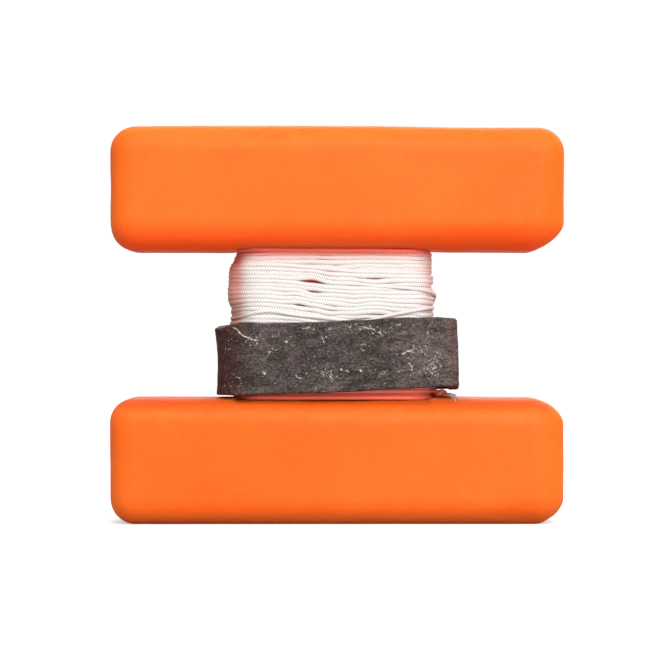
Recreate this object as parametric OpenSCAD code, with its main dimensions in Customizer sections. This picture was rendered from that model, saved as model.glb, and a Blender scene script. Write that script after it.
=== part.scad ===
// H-shaped marker float with a wound line and a lead strap weight.
// Frame: +X along the bars, -Y the front face, +Z up the H. The origin is the
// centre of the lower bar's underside. Millimetres.

/* [Foam float] */
// Length of each foam bar along X
bar_len = 127; // [100:1:160]
// Height of each foam bar along Z
bar_h = 35.3; // [28:0.1:45]
// Thickness of each foam bar, front to back
bar_t = 38; // [37.8:0.1:50]
// Clear height between the two bars, where the line is wound
gap_h = 40.8; // [36:0.1:60]
// Edge rounding along the bars, seen from the end
edge_r = 8.5; // [4:0.5:10]
// Edge rounding at the bar ends, seen from above
end_r = 5; // [3:0.5:8]
// Corner radii of the lower bar, seen from the front: bottom left, bottom right, top right, top left
lower_corners = [7, 7.2, 9.5, 7]; // [4:0.1:12]
// Corner radii of the upper bar, seen from the front: bottom left, bottom right, top right, top left
upper_corners = [7.6, 9.5, 7.6, 7.6]; // [4:0.1:12]
// Width of the web that joins the bars
web_w = 47; // [40:0.5:47]
// Thickness of the web, front to back
web_t = 14; // [10:0.5:14]
// Sideways offset of the web from the middle of the bars
web_x = -1.1; // [-1.2:0.1:1]
// Corner rounding of the web, seen from above
web_r = 4; // [2:0.5:5]

/* [Line] */
// Diameter of the braided line
line_d = 1.2; // [1:0.05:1.2]
// Height left bare at the top of the outermost layer of line
crown_top = 3.2; // [1:0.1:8]
// Height left bare at the bottom of the outermost layer of line
crown_bottom = 1.2; // [0.5:0.1:6]
// Length of the line's free tail that shows beside the web
tail_len = 9.6; // [6:0.1:11]

/* [Lead strap] */
// Height of the lead strip, along Z
strap_h = 20; // [16:0.5:22]
// Thickness of the lead strip
strap_t = 3; // [2.4:0.1:3]
// Half width of the closed strap, outside, along X
strap_hx = 34.15; // [33.5:0.05:36]
// Distance from the middle plane to the strap's outer front face
strap_front = 16.6; // [16.6:0.1:18]
// Distance from the middle plane to the strap's outer back face
strap_back = 17.6; // [17.6:0.1:18.5]
// Height of the strap's centre above the underside
strap_z = 46.8; // [46.8:0.1:50]
// Tilt of the strap in the front view, right end up, in degrees
strap_tilt = 1.9; // [0:0.1:2.5]
// Outer radius of the front left bend
bend_fl = 7; // [5:0.5:9]
// Outer radius of the back left bend
bend_bl = 5; // [4:0.5:7]
// X position of the tied end's tip, behind the wound line
tied_tip_x = -12; // [-15:0.5:-11]
// X position of the free flap's tip, behind the wound line
flap_tip_x = -8; // [-9:0.5:10]
// Radius of the hole that the line is tied through
eye_r = 1.7; // [1.2:0.1:2]
// X position of that hole
eye_x = -20; // [-22:0.5:-18]
// Height of that hole above the middle of the strip
eye_z = 5; // [3:0.5:6]

/* [Hidden] */
$fn = 64;
line_fn = 24;                    // facets round the line
knot_fn = 32;                    // facets round the knots

foam_color = [1.0, 0.5, 0.2];
line_color = [0.95, 0.93, 0.91];
lead_color = [0.3, 0.28, 0.28];

// Foam
gap_bottom = bar_h;              // top of the lower bar
gap_top = bar_h + gap_h;         // underside of the upper bar
web_sink = 3;                    // depth of the web's ends inside the bars
web_side = web_x + web_w / 2;    // right-hand face of the web

// Wound line
line_r = line_d / 2;
slim_r = line_r - 0.02;          // slightly thinner line, for the tail and the eye loop
layer_count = 5;
layer_gap = 0.05;                // clearance between one layer of line and the next
pack_gap = 0.1;                  // clearance above and below the wound line
joint_scale = 1.05;              // cord joints against the cord's radius

// Tied first turn, its knot and its tail
hitch_bottom = gap_bottom + pack_gap;
hitch_z = hitch_bottom + line_r;
hitch_knot = [web_side + 1.5, 0, hitch_z + 0.65];
hitch_knot_r = 1.25;
tail_x = web_side + 3.1;
tail_y = -1.4;
tail_turn = -62;                 // direction of the tail, seen from above
tail_covered = 4;                // length added to the part that shows
hitch_gap = 0.15;                // room round the knot and above the tail
tail_side_gap = 0.1;             // room on each side of the tail
tail_room_back = 2.5;            // room behind the tail's start
tail_room_len = 14;
tail_room_sink = 1;              // depth of the room below the lower bar's top

// Strap: mid thickness planes and bends, in its own frame
half_t = strap_t / 2;
mid_front = -strap_front + half_t;
mid_back = strap_back - half_t;
mid_side = strap_hx - half_t;
bend_fl_centre = [-strap_hx + bend_fl, -strap_front + bend_fl];
bend_bl_centre = [-strap_hx + bend_bl, strap_back - bend_bl];
fold_front_left = [bend_fl_centre[0] + half_t, mid_front];
fold_front_right = [mid_side, mid_front];
fold_back_right = [mid_side, mid_back];
fold_gap = 0.05;                 // clearance round each fold
overlap = 0.01;                  // overlap of the tied end's straights and bends
fold_cut = 40;                   // size of the square that cuts at a fold
eye_cut_len = 40;

// Line at the strap's eye, in the strap's frame
loop_gap = 0.05;                 // clearance between the loop and the strip's faces
loop_top = strap_h / 2 + 0.07 + line_r;
loop_end = 0.3;                  // each end of the loop, off the strip's middle
knot_z = strap_h / 2 + 2.85;
knot_y = mid_back - 0.1;
knot_r = 1.35;
knot_ring_r = 0.95;
knot_ring_line_r = 0.55;
leader_start = [eye_x + 2.1, mid_back - 0.2, knot_z];
leader_end = [6, web_t / 2 + layer_count * line_d + 0.2 + line_r, knot_z];

// ---------- shared shapes ----------

// Rectangle from [0, 0] to [width, height] with its own radius at each corner
module corner_rect(width, height, radii) {
    corners = [[0, 0], [width, 0], [width, height], [0, height]];
    inward = [[1, 1], [-1, 1], [-1, -1], [1, -1]];
    difference() {
        square([width, height]);
        for (i = [0:3])
            difference() {
                translate(corners[i] + inward[i] * (radii[i] - 1) / 2)
                    square([radii[i] + 1, radii[i] + 1], center = true);
                translate(corners[i] + inward[i] * radii[i]) circle(r = radii[i]);
            }
    }
}

// Centred rectangle with one radius
module round_rect(width, height, radius) {
    square([width - 2 * radius, height], center = true);
    square([width, height - 2 * radius], center = true);
    for (x = [-1, 1], y = [-1, 1])
        translate([x * (width / 2 - radius), y * (height / 2 - radius)]) circle(r = radius);
}

// Outline of the web, grown by a depth of wound line
module wound(depth) {
    translate([web_x, 0])
        round_rect(web_w + 2 * depth, web_t + 2 * depth, web_r + depth);
}

// Ring of wound line between two depths and two heights
module line_ring(inner, outer, bottom, top) {
    translate([0, 0, bottom]) linear_extrude(top - bottom)
        difference() {
            wound(outer);
            wound(inner);
        }
}

// Cord along a list of points. Its joints are balls a little wider than the cord.
module cord(points, radius) {
    for (i = [0:len(points) - 2]) {
        span = points[i + 1] - points[i];
        length = norm(span);
        translate(points[i])
            rotate([0, acos(span[2] / length), atan2(span[1], span[0])])
                cylinder(h = length, r = radius, $fn = line_fn);
    }
    for (point = points) translate(point) sphere(r = radius * joint_scale, $fn = line_fn);
}

// Carries the strap's own frame into the float's frame
module strap_frame() {
    translate([0, 0, strap_z]) rotate([0, -strap_tilt, 0]) children();
}

// ---------- foam float ----------

// Foam bar, rounded as seen from the front, the end and above
module foam_bar(z, corners) {
    translate([0, 0, z]) intersection() {
        translate([-bar_len / 2, bar_t / 2, 0]) rotate([90, 0, 0])
            linear_extrude(bar_t) corner_rect(bar_len, bar_h, corners);
        translate([-bar_len / 2, 0, bar_h / 2]) rotate([90, 0, 90])
            linear_extrude(bar_len) round_rect(bar_t, bar_h, edge_r);
        linear_extrude(bar_h) round_rect(bar_len, bar_t, end_r);
    }
}

module float_body() {
    color(foam_color) {
        foam_bar(0, lower_corners);
        foam_bar(gap_top, upper_corners);
        translate([0, 0, gap_bottom - web_sink])
            linear_extrude(gap_h + 2 * web_sink) wound(0);
    }
}

// ---------- line ----------

// First turn, tied round the foot of the web
module line_anchor_hitch() {
    color(line_color) {
        line_ring(layer_gap, line_d, hitch_bottom, hitch_bottom + line_d);
        translate(hitch_knot) sphere(r = hitch_knot_r, $fn = knot_fn);
    }
}

// Short tail of the first turn. It lies on the lower bar and runs right and forward.
module line_anchor_tail() {
    color(line_color)
        translate([tail_x, tail_y, hitch_z]) rotate([0, 90, tail_turn])
            cylinder(h = tail_len + tail_covered, r = slim_r, $fn = line_fn);
}

// Room that the hitch's knot and tail need in the layers round them
module hitch_room() {
    room_bottom = gap_bottom - tail_room_sink;
    translate(hitch_knot) sphere(r = hitch_knot_r + hitch_gap, $fn = knot_fn);
    translate([tail_x, tail_y, room_bottom]) rotate(tail_turn)
        translate([-tail_room_back, -line_r - tail_side_gap, 0])
            cube([tail_room_len, line_d + 2 * tail_side_gap,
                  hitch_z + line_r + hitch_gap - room_bottom]);
}

// Layer of wound line, counted outward from the web. The first starts above the
// hitch, and the outermost stops short at the top and bottom.
module line_layer(layer) {
    outermost = layer == layer_count;
    bottom = layer == 1 ? hitch_bottom + line_d + pack_gap
           : outermost ? gap_bottom + crown_bottom
           : gap_bottom + pack_gap;
    top = gap_top - (outermost ? crown_top : pack_gap);
    color(line_color) difference() {
        line_ring((layer - 1) * line_d + layer_gap, layer * line_d, bottom, top);
        hitch_room();
    }
}
module line_layer_1() { line_layer(1); }
module line_layer_2() { line_layer(2); }
module line_layer_3() { line_layer(3); }
module line_layer_4() { line_layer(4); }
module line_layer_5() { line_layer(5); }

// Length of line between the back of the wound pack and the knot at the strap's eye
module line_leader() {
    color(line_color) strap_frame() cord([leader_start, leader_end], line_r);
}

// Loop of line through the eye and over the strip's top edge
module weight_eye_loop() {
    inside = mid_back - half_t - loop_gap - line_r;
    outside = mid_back + half_t + loop_gap + line_r;
    color(line_color) strap_frame()
        cord([[eye_x, mid_back - loop_end, loop_top],
              [eye_x, inside, loop_top],
              [eye_x, inside, eye_z],
              [eye_x, outside, eye_z],
              [eye_x, outside, loop_top],
              [eye_x, mid_back + loop_end, loop_top]], slim_r);
}

// Knot that closes the loop: a ball with a ring of line round it
module weight_eye_knot() {
    color(line_color) strap_frame() translate([eye_x, knot_y, knot_z]) {
        sphere(r = knot_r, $fn = knot_fn);
        rotate([0, 90, 0]) rotate_extrude($fn = knot_fn)
            translate([knot_ring_r, 0]) circle(r = knot_ring_line_r, $fn = line_fn);
    }
}

// ---------- lead strap, plans seen from above, in its own frame ----------

// Quarter ring of strip
module quarter_bend(centre, outer_r, start_angle) {
    translate(centre) intersection() {
        difference() {
            circle(r = outer_r);
            circle(r = outer_r - strap_t);
        }
        rotate(start_angle) square([outer_r + 1, outer_r + 1]);
    }
}

// Cutter on one side of a line through a fold, at the given angle
module side_of(fold, angle) {
    translate(fold) rotate(angle)
        translate([-fold_cut / 2, -fold_gap]) square([fold_cut, fold_cut]);
}

// Round end of one plate, on the fold
module fold_pin(fold) { translate(fold) circle(r = half_t); }

// Cutter that clears the next plate round that end
module fold_socket(fold) { translate(fold) circle(r = half_t + fold_gap); }

// Start of the front, both left bends, the left side and the back up to the tied tip
module tied_end_plan() {
    fold_pin(fold_front_left);
    translate([bend_fl_centre[0] - overlap, mid_front - half_t])
        square([fold_front_left[0] - bend_fl_centre[0] + overlap, strap_t]);
    quarter_bend(bend_fl_centre, bend_fl, 180);
    translate([-strap_hx, bend_fl_centre[1] - overlap])
        square([strap_t, bend_bl_centre[1] - bend_fl_centre[1] + 2 * overlap]);
    quarter_bend(bend_bl_centre, bend_bl, 90);
    translate([bend_bl_centre[0] - overlap, mid_back - half_t])
        square([tied_tip_x - bend_bl_centre[0], strap_t]);
}

module front_plate_plan() {
    difference() {
        translate([fold_front_left[0], mid_front - half_t])
            square([fold_front_right[0] - fold_front_left[0], strap_t]);
        fold_socket(fold_front_left);
        // relief in front of the left fold, so that the plate can swing forward
        translate(fold_front_left) rotate(-50) translate([-5, -8]) square([5, 8]);
        translate(fold_front_left) rotate(-40) translate([0, -8]) square([1.2, 6]);
        side_of(fold_front_right, -45);
    }
    fold_pin(fold_front_right);
}

module side_plate_plan() {
    difference() {
        translate([fold_front_right[0] - half_t, fold_front_right[1]])
            square([strap_t, fold_back_right[1] - fold_front_right[1]]);
        fold_socket(fold_front_right);
        side_of(fold_front_right, 135);
        side_of(fold_back_right, 45);
    }
    fold_pin(fold_back_right);
}

module end_flap_plan() {
    difference() {
        translate([flap_tip_x, mid_back - half_t])
            square([fold_back_right[0] - flap_tip_x, strap_t]);
        fold_socket(fold_back_right);
        side_of(fold_back_right, 225);
    }
}

// Raises a plan to the strip's height, centred on Z
module strip() { translate([0, 0, -strap_h / 2]) linear_extrude(strap_h) children(); }

module weight_tied_end() {
    color(lead_color) strap_frame() difference() {
        strip() tied_end_plan();
        translate([eye_x, 0, eye_z]) rotate([-90, 0, 0])
            cylinder(h = eye_cut_len, r = eye_r, $fn = 48);
    }
}
module weight_front_plate() { color(lead_color) strap_frame() strip() front_plate_plan(); }
module weight_side_plate() { color(lead_color) strap_frame() strip() side_plate_plan(); }
module weight_end_flap() { color(lead_color) strap_frame() strip() end_flap_plan(); }

float_body();
line_anchor_hitch();
line_anchor_tail();
line_layer_1();
line_layer_2();
line_layer_3();
line_layer_4();
line_layer_5();
line_leader();
weight_eye_loop();
weight_eye_knot();
weight_tied_end();
weight_front_plate();
weight_side_plate();
weight_end_flap();
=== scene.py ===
# A hand line on a foam float: two orange foam bars, one above the other, joined by a web.
# White braided line is wound round the web, and a bent lead strip goes round the middle.
# X runs along the bars, -Y is the front, +Z is up, and the lower bar stands on Z = 0.
# Sizes are in millimetres unless a comment says otherwise; meshes are scaled to metres.
import itertools
import math

import bpy
import numpy as np
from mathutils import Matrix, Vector


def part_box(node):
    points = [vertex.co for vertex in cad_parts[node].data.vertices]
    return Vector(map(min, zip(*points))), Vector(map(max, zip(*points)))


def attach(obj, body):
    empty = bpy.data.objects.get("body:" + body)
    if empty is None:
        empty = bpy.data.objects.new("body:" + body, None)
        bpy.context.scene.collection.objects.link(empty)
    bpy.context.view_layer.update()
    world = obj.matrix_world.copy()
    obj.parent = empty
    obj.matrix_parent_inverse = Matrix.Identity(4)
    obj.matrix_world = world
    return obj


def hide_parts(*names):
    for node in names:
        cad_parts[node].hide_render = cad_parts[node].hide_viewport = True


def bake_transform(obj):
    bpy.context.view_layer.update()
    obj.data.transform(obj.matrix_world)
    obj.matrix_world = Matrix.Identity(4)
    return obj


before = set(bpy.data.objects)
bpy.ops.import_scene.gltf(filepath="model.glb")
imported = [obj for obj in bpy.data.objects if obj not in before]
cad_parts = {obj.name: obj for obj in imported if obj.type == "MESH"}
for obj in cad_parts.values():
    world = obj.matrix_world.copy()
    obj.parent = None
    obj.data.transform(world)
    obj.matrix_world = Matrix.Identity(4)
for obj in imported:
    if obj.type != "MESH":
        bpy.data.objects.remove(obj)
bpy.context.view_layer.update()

MM = 0.001

# ------------------------------------------------------------------ sizes


def box_mm(node):
    low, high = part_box(node)
    return np.array(low) * 1000.0, np.array(high) * 1000.0


FLOAT_LO, FLOAT_HI = box_mm("float_body")
OUTER_LO, OUTER_HI = box_mm("line_layer_5")
INNER_LO, INNER_HI = box_mm("line_layer_4")

BAR_LENGTH = FLOAT_HI[0] - FLOAT_LO[0]
BAR_DEPTH = FLOAT_HI[1] - FLOAT_LO[1]
LOWER_TOP = INNER_LO[2] - 0.1           # top of the lower bar
UPPER_BOTTOM = INNER_HI[2] + 0.1        # underside of the upper bar

CORD_DIAMETER = 1.2
CORD_RADIUS = CORD_DIAMETER / 2
CORD_SIDES = 16
BRAID_PITCH = 2.90                      # one turn of a yarn along the line

WEB_X = (OUTER_LO[0] + OUTER_HI[0]) / 2
WEB_HALF_X = (OUTER_HI[0] - OUTER_LO[0]) / 2 - 5 * CORD_DIAMETER
WEB_HALF_Y = (OUTER_HI[1] - OUTER_LO[1]) / 2 - 5 * CORD_DIAMETER
WEB_CORNER = 4.0                        # corner radius of the track round the web

STRIP_TILT = math.radians(1.9)          # the right end stands higher
STRIP_THICK = 3.0
STRIP_HEIGHT = 20.0
STRIP_HALF_X = 34.15
STRIP_FRONT = 16.6                      # outer faces, in front of and behind Y = 0
STRIP_BACK = 17.6
STRIP_Z = 46.8                          # mid height
TIED_X, FLAP_X = -12.0, -8.0            # the strip's two cut ends, both at the back
EYE_X, EYE_Z = -20.0, 5.0               # hole for the line, in the strip's own frame

# ------------------------------------------------------------------ numbers and noise


def grid(x, y, z):
    """Points from coordinates that are broadcast against each other."""
    return np.stack(np.broadcast_arrays(x, y, z), -1)


def smooth(value, low=0.0, high=1.0):
    """Smooth step from 0 at low to 1 at high."""
    share = np.clip((value - low) / (high - low), 0, 1)
    return share * share * (3 - 2 * share)


def fall(value, low, high):
    """Smooth step from 1 at low to 0 at high."""
    return smooth(-value, -high, -low)


def band(value, rise, drop):
    """Smooth rise over one span and fall over another."""
    return smooth(value, *rise) * fall(value, *drop)


def lattice_hash(ix, iy, iz, seed):
    """Repeatable value in 0..1 for each lattice point."""
    value = ix * 374761393 + iy * 668265263 + iz * 1440662683 + seed * 974634777
    value = value & 0xFFFFFFFF
    value = ((value ^ (value >> 13)) * 1274126177) & 0xFFFFFFFF
    value = ((value ^ (value >> 15)) * 2246822519) & 0xFFFFFFFF
    return ((value ^ (value >> 16)) & 0xFFFFFF).astype(float) / float(0xFFFFFF)


def value_noise(points, size, seed):
    """Smooth value noise in -1..1, with features of about this size."""
    scaled = np.asarray(points, float) / size
    cell = np.floor(scaled)
    part = scaled - cell
    blend = part * part * part * (part * (part * 6 - 15) + 10)
    cell = cell.astype(int)
    total = 0.0
    for corner in itertools.product((0, 1), repeat=3):
        weight = np.where(corner, blend, 1 - blend).prod(-1)
        total = total + weight * lattice_hash(*np.moveaxis(cell + corner, -1, 0), seed)
    return total * 2 - 1


def rich_noise(points, size, seed):
    """Value noise with a second octave at half the size and strength."""
    coarse = value_noise(points, size, seed)
    return (coarse + 0.5 * value_noise(points, size / 2, seed + 31)) / 1.5


def cubic_through(stations, values, query):
    """Cubic curve through the values at these stations."""
    stations, values = np.asarray(stations, float), np.asarray(values, float)
    slope = np.gradient(values, stations)
    i = np.clip(np.searchsorted(stations, query, side="right") - 1, 0, len(stations) - 2)
    width = stations[i + 1] - stations[i]
    t = (query - stations[i]) / width
    return ((2 * t**3 - 3 * t**2 + 1) * values[i] + (t**3 - 2 * t**2 + t) * width * slope[i]
            + (-2 * t**3 + 3 * t**2) * values[i + 1] + (t**3 - t**2) * width * slope[i + 1])


# ------------------------------------------------------------------ meshes


def build_mesh(name, points, faces, smooth_faces=True):
    """Mesh from points in mm; faces is a list of arrays (n, k), each with its own k."""
    mesh = bpy.data.meshes.new(name)
    coords = np.ascontiguousarray(np.asarray(points, float) * MM, np.float32)
    mesh.vertices.add(len(coords))
    mesh.vertices.foreach_set("co", coords.ravel())
    loops, starts, used = [], [], 0
    for group in faces:
        group = np.asarray(group, np.int32)
        count, corners = group.shape
        loops.append(group.ravel())
        starts.append(used + np.arange(count, dtype=np.int32) * corners)
        used += count * corners
    loops = np.concatenate(loops)
    starts = np.concatenate(starts)
    mesh.loops.add(len(loops))
    mesh.loops.foreach_set("vertex_index", loops)
    mesh.polygons.add(len(starts))
    mesh.polygons.foreach_set("loop_start", starts)
    mesh.polygons.foreach_set("use_smooth", np.full(len(starts), smooth_faces, dtype=bool))
    mesh.update(calc_edges=True)
    return mesh


def add_object(name, mesh, material):
    obj = bpy.data.objects.new(name, mesh)
    bpy.context.scene.collection.objects.link(obj)
    mesh.materials.append(material)
    return obj


def set_float(mesh, name, values):
    attribute = mesh.attributes.new(name, "FLOAT", "POINT")
    attribute.data.foreach_set("value", np.ascontiguousarray(values, np.float32))


def set_vector(mesh, name, values, domain="POINT"):
    attribute = mesh.attributes.new(name, "FLOAT_VECTOR", domain)
    attribute.data.foreach_set("vector", np.ascontiguousarray(values, np.float32).ravel())


def vertex_normals(mesh):
    normals = np.zeros(len(mesh.vertices) * 3, np.float32)
    mesh.vertices.foreach_get("normal", normals)
    return normals.reshape(-1, 3)


def bridge(rings):
    """Quads between rows of vertex numbers, each row a closed ring."""
    turned = np.roll(rings, -1, 1)
    return np.stack([rings[:-1], turned[:-1], turned[1:], rings[1:]], -1).reshape(-1, 4)


# ------------------------------------------------------------------ shader helpers


def srgb(red, green, blue):
    def linear(value):
        value /= 255.0
        return value / 12.92 if value <= 0.04045 else ((value + 0.055) / 1.055) ** 2.4
    return (linear(red), linear(green), linear(blue))


def mm_span(low, high):
    """A span in metres, from millimetres."""
    return low * MM, high * MM


class Shader:
    """Short calls for the nodes of one tree. Inputs take values or sockets."""

    def __init__(self, tree, output="ShaderNodeOutputMaterial"):
        self.tree = tree
        tree.nodes.clear()
        self.output = self.node(output)

    def node(self, kind, inputs=None, **properties):
        node = self.tree.nodes.new(kind)
        for key, value in properties.items():
            setattr(node, key, value)
        self.fill(node, inputs or {})
        return node

    def fill(self, node, inputs):
        for key, value in inputs.items():
            if isinstance(value, bpy.types.NodeSocket):
                self.tree.links.new(value, node.inputs[key])
            else:
                node.inputs[key].default_value = value

    def attribute(self, name, output="Fac"):
        return self.node("ShaderNodeAttribute", attribute_name=name).outputs[output]

    def place(self, output="Object"):
        return self.node("ShaderNodeTexCoord").outputs[output]

    def scaled(self, vector, scale):
        return self.node("ShaderNodeMapping", {"Vector": vector, "Scale": scale}).outputs[0]

    def noise(self, vector, scale=1.0, detail=3.0, rough=0.55, distortion=0.0, output="Fac"):
        return self.node("ShaderNodeTexNoise", {
            "Vector": vector, "Scale": scale, "Detail": detail,
            "Roughness": rough, "Distortion": distortion}).outputs[output]

    def voronoi(self, vector, scale, output="Distance"):
        return self.node("ShaderNodeTexVoronoi",
                         {"Vector": vector, "Scale": scale}).outputs[output]

    def ramp(self, value, span, to=(0.0, 1.0), kind="SMOOTHSTEP"):
        """Carry a value from one span to another, held at the ends."""
        return self.node("ShaderNodeMapRange", {
            "Value": value, "From Min": span[0], "From Max": span[1],
            "To Min": to[0], "To Max": to[1]}, interpolation_type=kind).outputs["Result"]

    def math(self, operation, first, second=0.0, *third):
        inputs = dict(enumerate((first, second, *third)))
        return self.node("ShaderNodeMath", inputs, operation=operation).outputs[0]

    def add(self, total, *values):
        for value in values:
            total = self.math("ADD", total, value)
        return total

    def mul(self, total, *values):
        for value in values:
            total = self.math("MULTIPLY", total, value)
        return total

    def sub(self, first, second):
        return self.math("SUBTRACT", first, second)

    def swing(self, noise, amount):
        """A noise centred on zero, times an amount."""
        return self.mul(self.sub(noise, 0.5), amount)

    def mix(self, factor, first, second, blend="MIX"):
        def colour(value):
            return (*value, 1.0) if isinstance(value, tuple) else value
        inputs = {0: factor, 6: colour(first), 7: colour(second)}
        return self.node("ShaderNodeMix", inputs, data_type="RGBA", blend_type=blend).outputs[2]

    def split(self, vector):
        return self.node("ShaderNodeSeparateXYZ", {0: vector}).outputs


class Surface(Shader):
    """A material with one Principled surface."""

    def __init__(self, name):
        self.material = bpy.data.materials.new(name)
        self.material.use_nodes = True
        super().__init__(self.material.node_tree)
        self.bsdf = self.node("ShaderNodeBsdfPrincipled")
        self.fill(self.output, {0: self.bsdf.outputs[0]})

    def look(self, colour, rough, specular):
        self.fill(self.bsdf, {"Base Color": colour, "Roughness": rough,
                              "Specular IOR Level": specular})

    def scatter(self, weight, radius, scale):
        """Light that travels under the surface; the scale is in metres."""
        self.bsdf.subsurface_method = "RANDOM_WALK"
        self.fill(self.bsdf, {"Subsurface Weight": weight, "Subsurface Radius": radius,
                              "Subsurface Scale": scale})

    def bumps(self, *layers):
        """Stacked bumps, each (height, strength, distance in metres)."""
        normal = None
        for height, strength, distance in layers:
            inputs = {"Strength": strength, "Distance": distance, "Height": height}
            if normal is not None:
                inputs["Normal"] = normal
            normal = self.node("ShaderNodeBump", inputs).outputs[0]
        self.fill(self.bsdf, {"Normal": normal})


# ------------------------------------------------------------------ materials


def foam_material():
    m = Surface("foam_orange")
    place = m.place()
    cloud = m.noise(place, scale=34.0, detail=3.0, rough=0.5)       # broad mottling
    grain = m.noise(place, scale=420.0, detail=4.0, rough=0.6)      # about 2 mm
    fine = m.noise(place, scale=2300.0, detail=3.0, rough=0.6)      # cells of about 0.4 mm
    colour = m.mix(m.ramp(cloud, (0.32, 0.70)), (0.865, 0.143, 0.0078), (0.905, 0.161, 0.0115))
    colour = m.mix(m.mul(m.ramp(grain, (0.35, 0.75)), 0.16), colour, (0.82, 0.115, 0.006))

    # a few dark specks: one Voronoi cell in ten has one
    cells = m.voronoi(place, scale=165.0)
    pick = m.voronoi(place, scale=165.0, output="Color")
    chosen = m.ramp(m.split(pick)[0], (0.90, 0.905), kind="LINEAR")
    speck = m.mul(m.ramp(cells, (0.045, 0.025)), chosen)
    colour = m.mix(m.mul(speck, 0.45), colour, (0.38, 0.055, 0.012))

    # painted shade: both bars are darker and redder towards the line between them, where the
    # other bar blocks light and throws back orange
    x, y, z = m.split(place)
    upper = m.ramp(z, mm_span(LOWER_TOP + 12, LOWER_TOP + 13))

    def towards_line(upper_from, upper_to, lower_from, lower_to):
        above = m.ramp(z, mm_span(UPPER_BOTTOM + upper_from, UPPER_BOTTOM + upper_to))
        below = m.ramp(z, mm_span(LOWER_TOP - lower_from, LOWER_TOP - lower_to))
        return m.add(m.mul(above, upper), m.mul(below, m.sub(1.0, upper)))

    between_bars_shade_mask = towards_line(10.0, 0.5, 5.0, 0.8)
    between_bars_shade_colour = m.mix(upper, (0.56, 0.072, 0.0045), (0.84, 0.074, 0.004))
    colour = m.mix(m.mul(between_bars_shade_mask, 0.90), colour, between_bars_shade_colour)
    # and paler right at the line
    touching = towards_line(0.7, 0.1, 1.0, 0.3)
    near = m.ramp(m.math("ABSOLUTE", m.sub(x, WEB_X * MM)), mm_span(30.5, 27.0))
    near = m.mul(near, m.ramp(m.math("ABSOLUTE", y), mm_span(16.5, 14.5)))
    colour = m.mix(m.mul(touching, near, 0.85), colour, (0.99, 0.26, 0.11))

    m.look(colour, rough=m.add(m.mul(grain, 0.10), 0.50), specular=0.18)
    # red goes furthest in the foam
    m.scatter(weight=0.9, radius=(1.0, 0.10, 0.02), scale=0.0075)
    m.bumps((m.noise(place, scale=70.0, detail=3.0, rough=0.5), 0.25, 0.0012),
            (grain, 0.16, 0.0005),
            (fine, 0.14, 0.00016),
            (m.sub(1.0, speck), 0.5, 0.0003))
    return m.material


def line_material():
    m = Surface("line_white_braid")
    place = m.place()
    red = m.attribute("cord_foam_bounce")               # how much painted orange reflection and shade from the foam the line carries
    cord = m.attribute("cord_co", "Vector")     # along (mm), around (radians), strand number
    along, around, _ = m.split(cord)

    # two sets of yarns, wound opposite ways, that pass over and under each other
    run = m.mul(along, 4 * math.pi / BRAID_PITCH)
    turn = m.mul(around, 2.0)
    wander = m.swing(m.noise(place, scale=900.0, detail=2.0), 1.6)
    right_hand = m.math("COSINE", m.add(turn, run, wander))
    left_hand = m.math("COSINE", m.add(m.sub(turn, run), wander))
    over = m.add(m.mul(m.math("TANH", m.mul(right_hand, left_hand, 2.6)), 0.18), 0.80)
    relief = m.add(m.mul(over, m.mul(right_hand, right_hand)),
                   m.mul(m.sub(1.0, over), m.mul(left_hand, left_hand)))
    fibre = m.noise(m.scaled(cord, (2.2, 1.6, 1.0)), scale=3.0, detail=3.0, rough=0.6)
    dirt = m.noise(place, scale=150.0, detail=3.0, rough=0.6)
    # painted shade: the braid's grooves are darker than its crowns
    colour = m.mix(m.ramp(relief, (0.03, 0.46)), (0.47, 0.390, 0.370), (0.800, 0.765, 0.748))

    # painted shade: the crease between two turns is dark in places
    crease_shade = m.ramp(m.math("ABSOLUTE", m.math("SINE", around)), (0.42, 0.76))
    patches = m.noise(m.scaled(cord, (0.105, 0.0, 3.7)), detail=2.0, rough=0.5)
    dark = m.mul(crease_shade, m.ramp(patches, (0.52, 0.64)), 0.78)
    colour = m.mix(dark, colour, (0.33, 0.21, 0.19))
    # slow changes of tone, dirt and single fibres
    tone = m.noise(m.scaled(cord, (0.075, 0.0, 5.3)), detail=1.0, rough=0.5)
    colour = m.mix(m.ramp(tone, (0.45, 0.75), to=(0.0, 0.22)), colour, (0.66, 0.56, 0.54))
    colour = m.mix(m.mul(m.ramp(dirt, (0.40, 0.75)), 0.14), colour, (0.80, 0.66, 0.62))
    colour = m.mix(m.mul(m.ramp(fibre, (0.50, 0.80)), 0.16), colour, (0.62, 0.52, 0.50))

    # painted reflection of the foam's orange, with painted light brighter low down near the lower
    # bar
    painted_light_low = m.ramp(m.split(place)[2], mm_span(LOWER_TOP + 4.5, LOWER_TOP + 3.0))
    deep = m.mix(m.ramp(relief, (0.0, 0.7)),
                 m.mix(painted_light_low, (0.56, 0.040, 0.018), (0.95, 0.12, 0.07)),
                 m.mix(painted_light_low, (0.99, 0.185, 0.115), (1.0, 0.22, 0.135)))
    colour = m.mix(red, colour, deep)
    colour = m.mix(m.attribute("cord_shade"), colour, (0.64, 0.54, 0.45), "MULTIPLY")

    m.look(colour, rough=m.add(m.mul(fibre, 0.16), 0.42), specular=0.30)
    m.scatter(weight=0.30, radius=(1.0, 0.45, 0.38), scale=0.0011)
    m.bumps((relief, 0.70, 0.00012), (fibre, 0.30, 0.00006))
    return m.material


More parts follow.
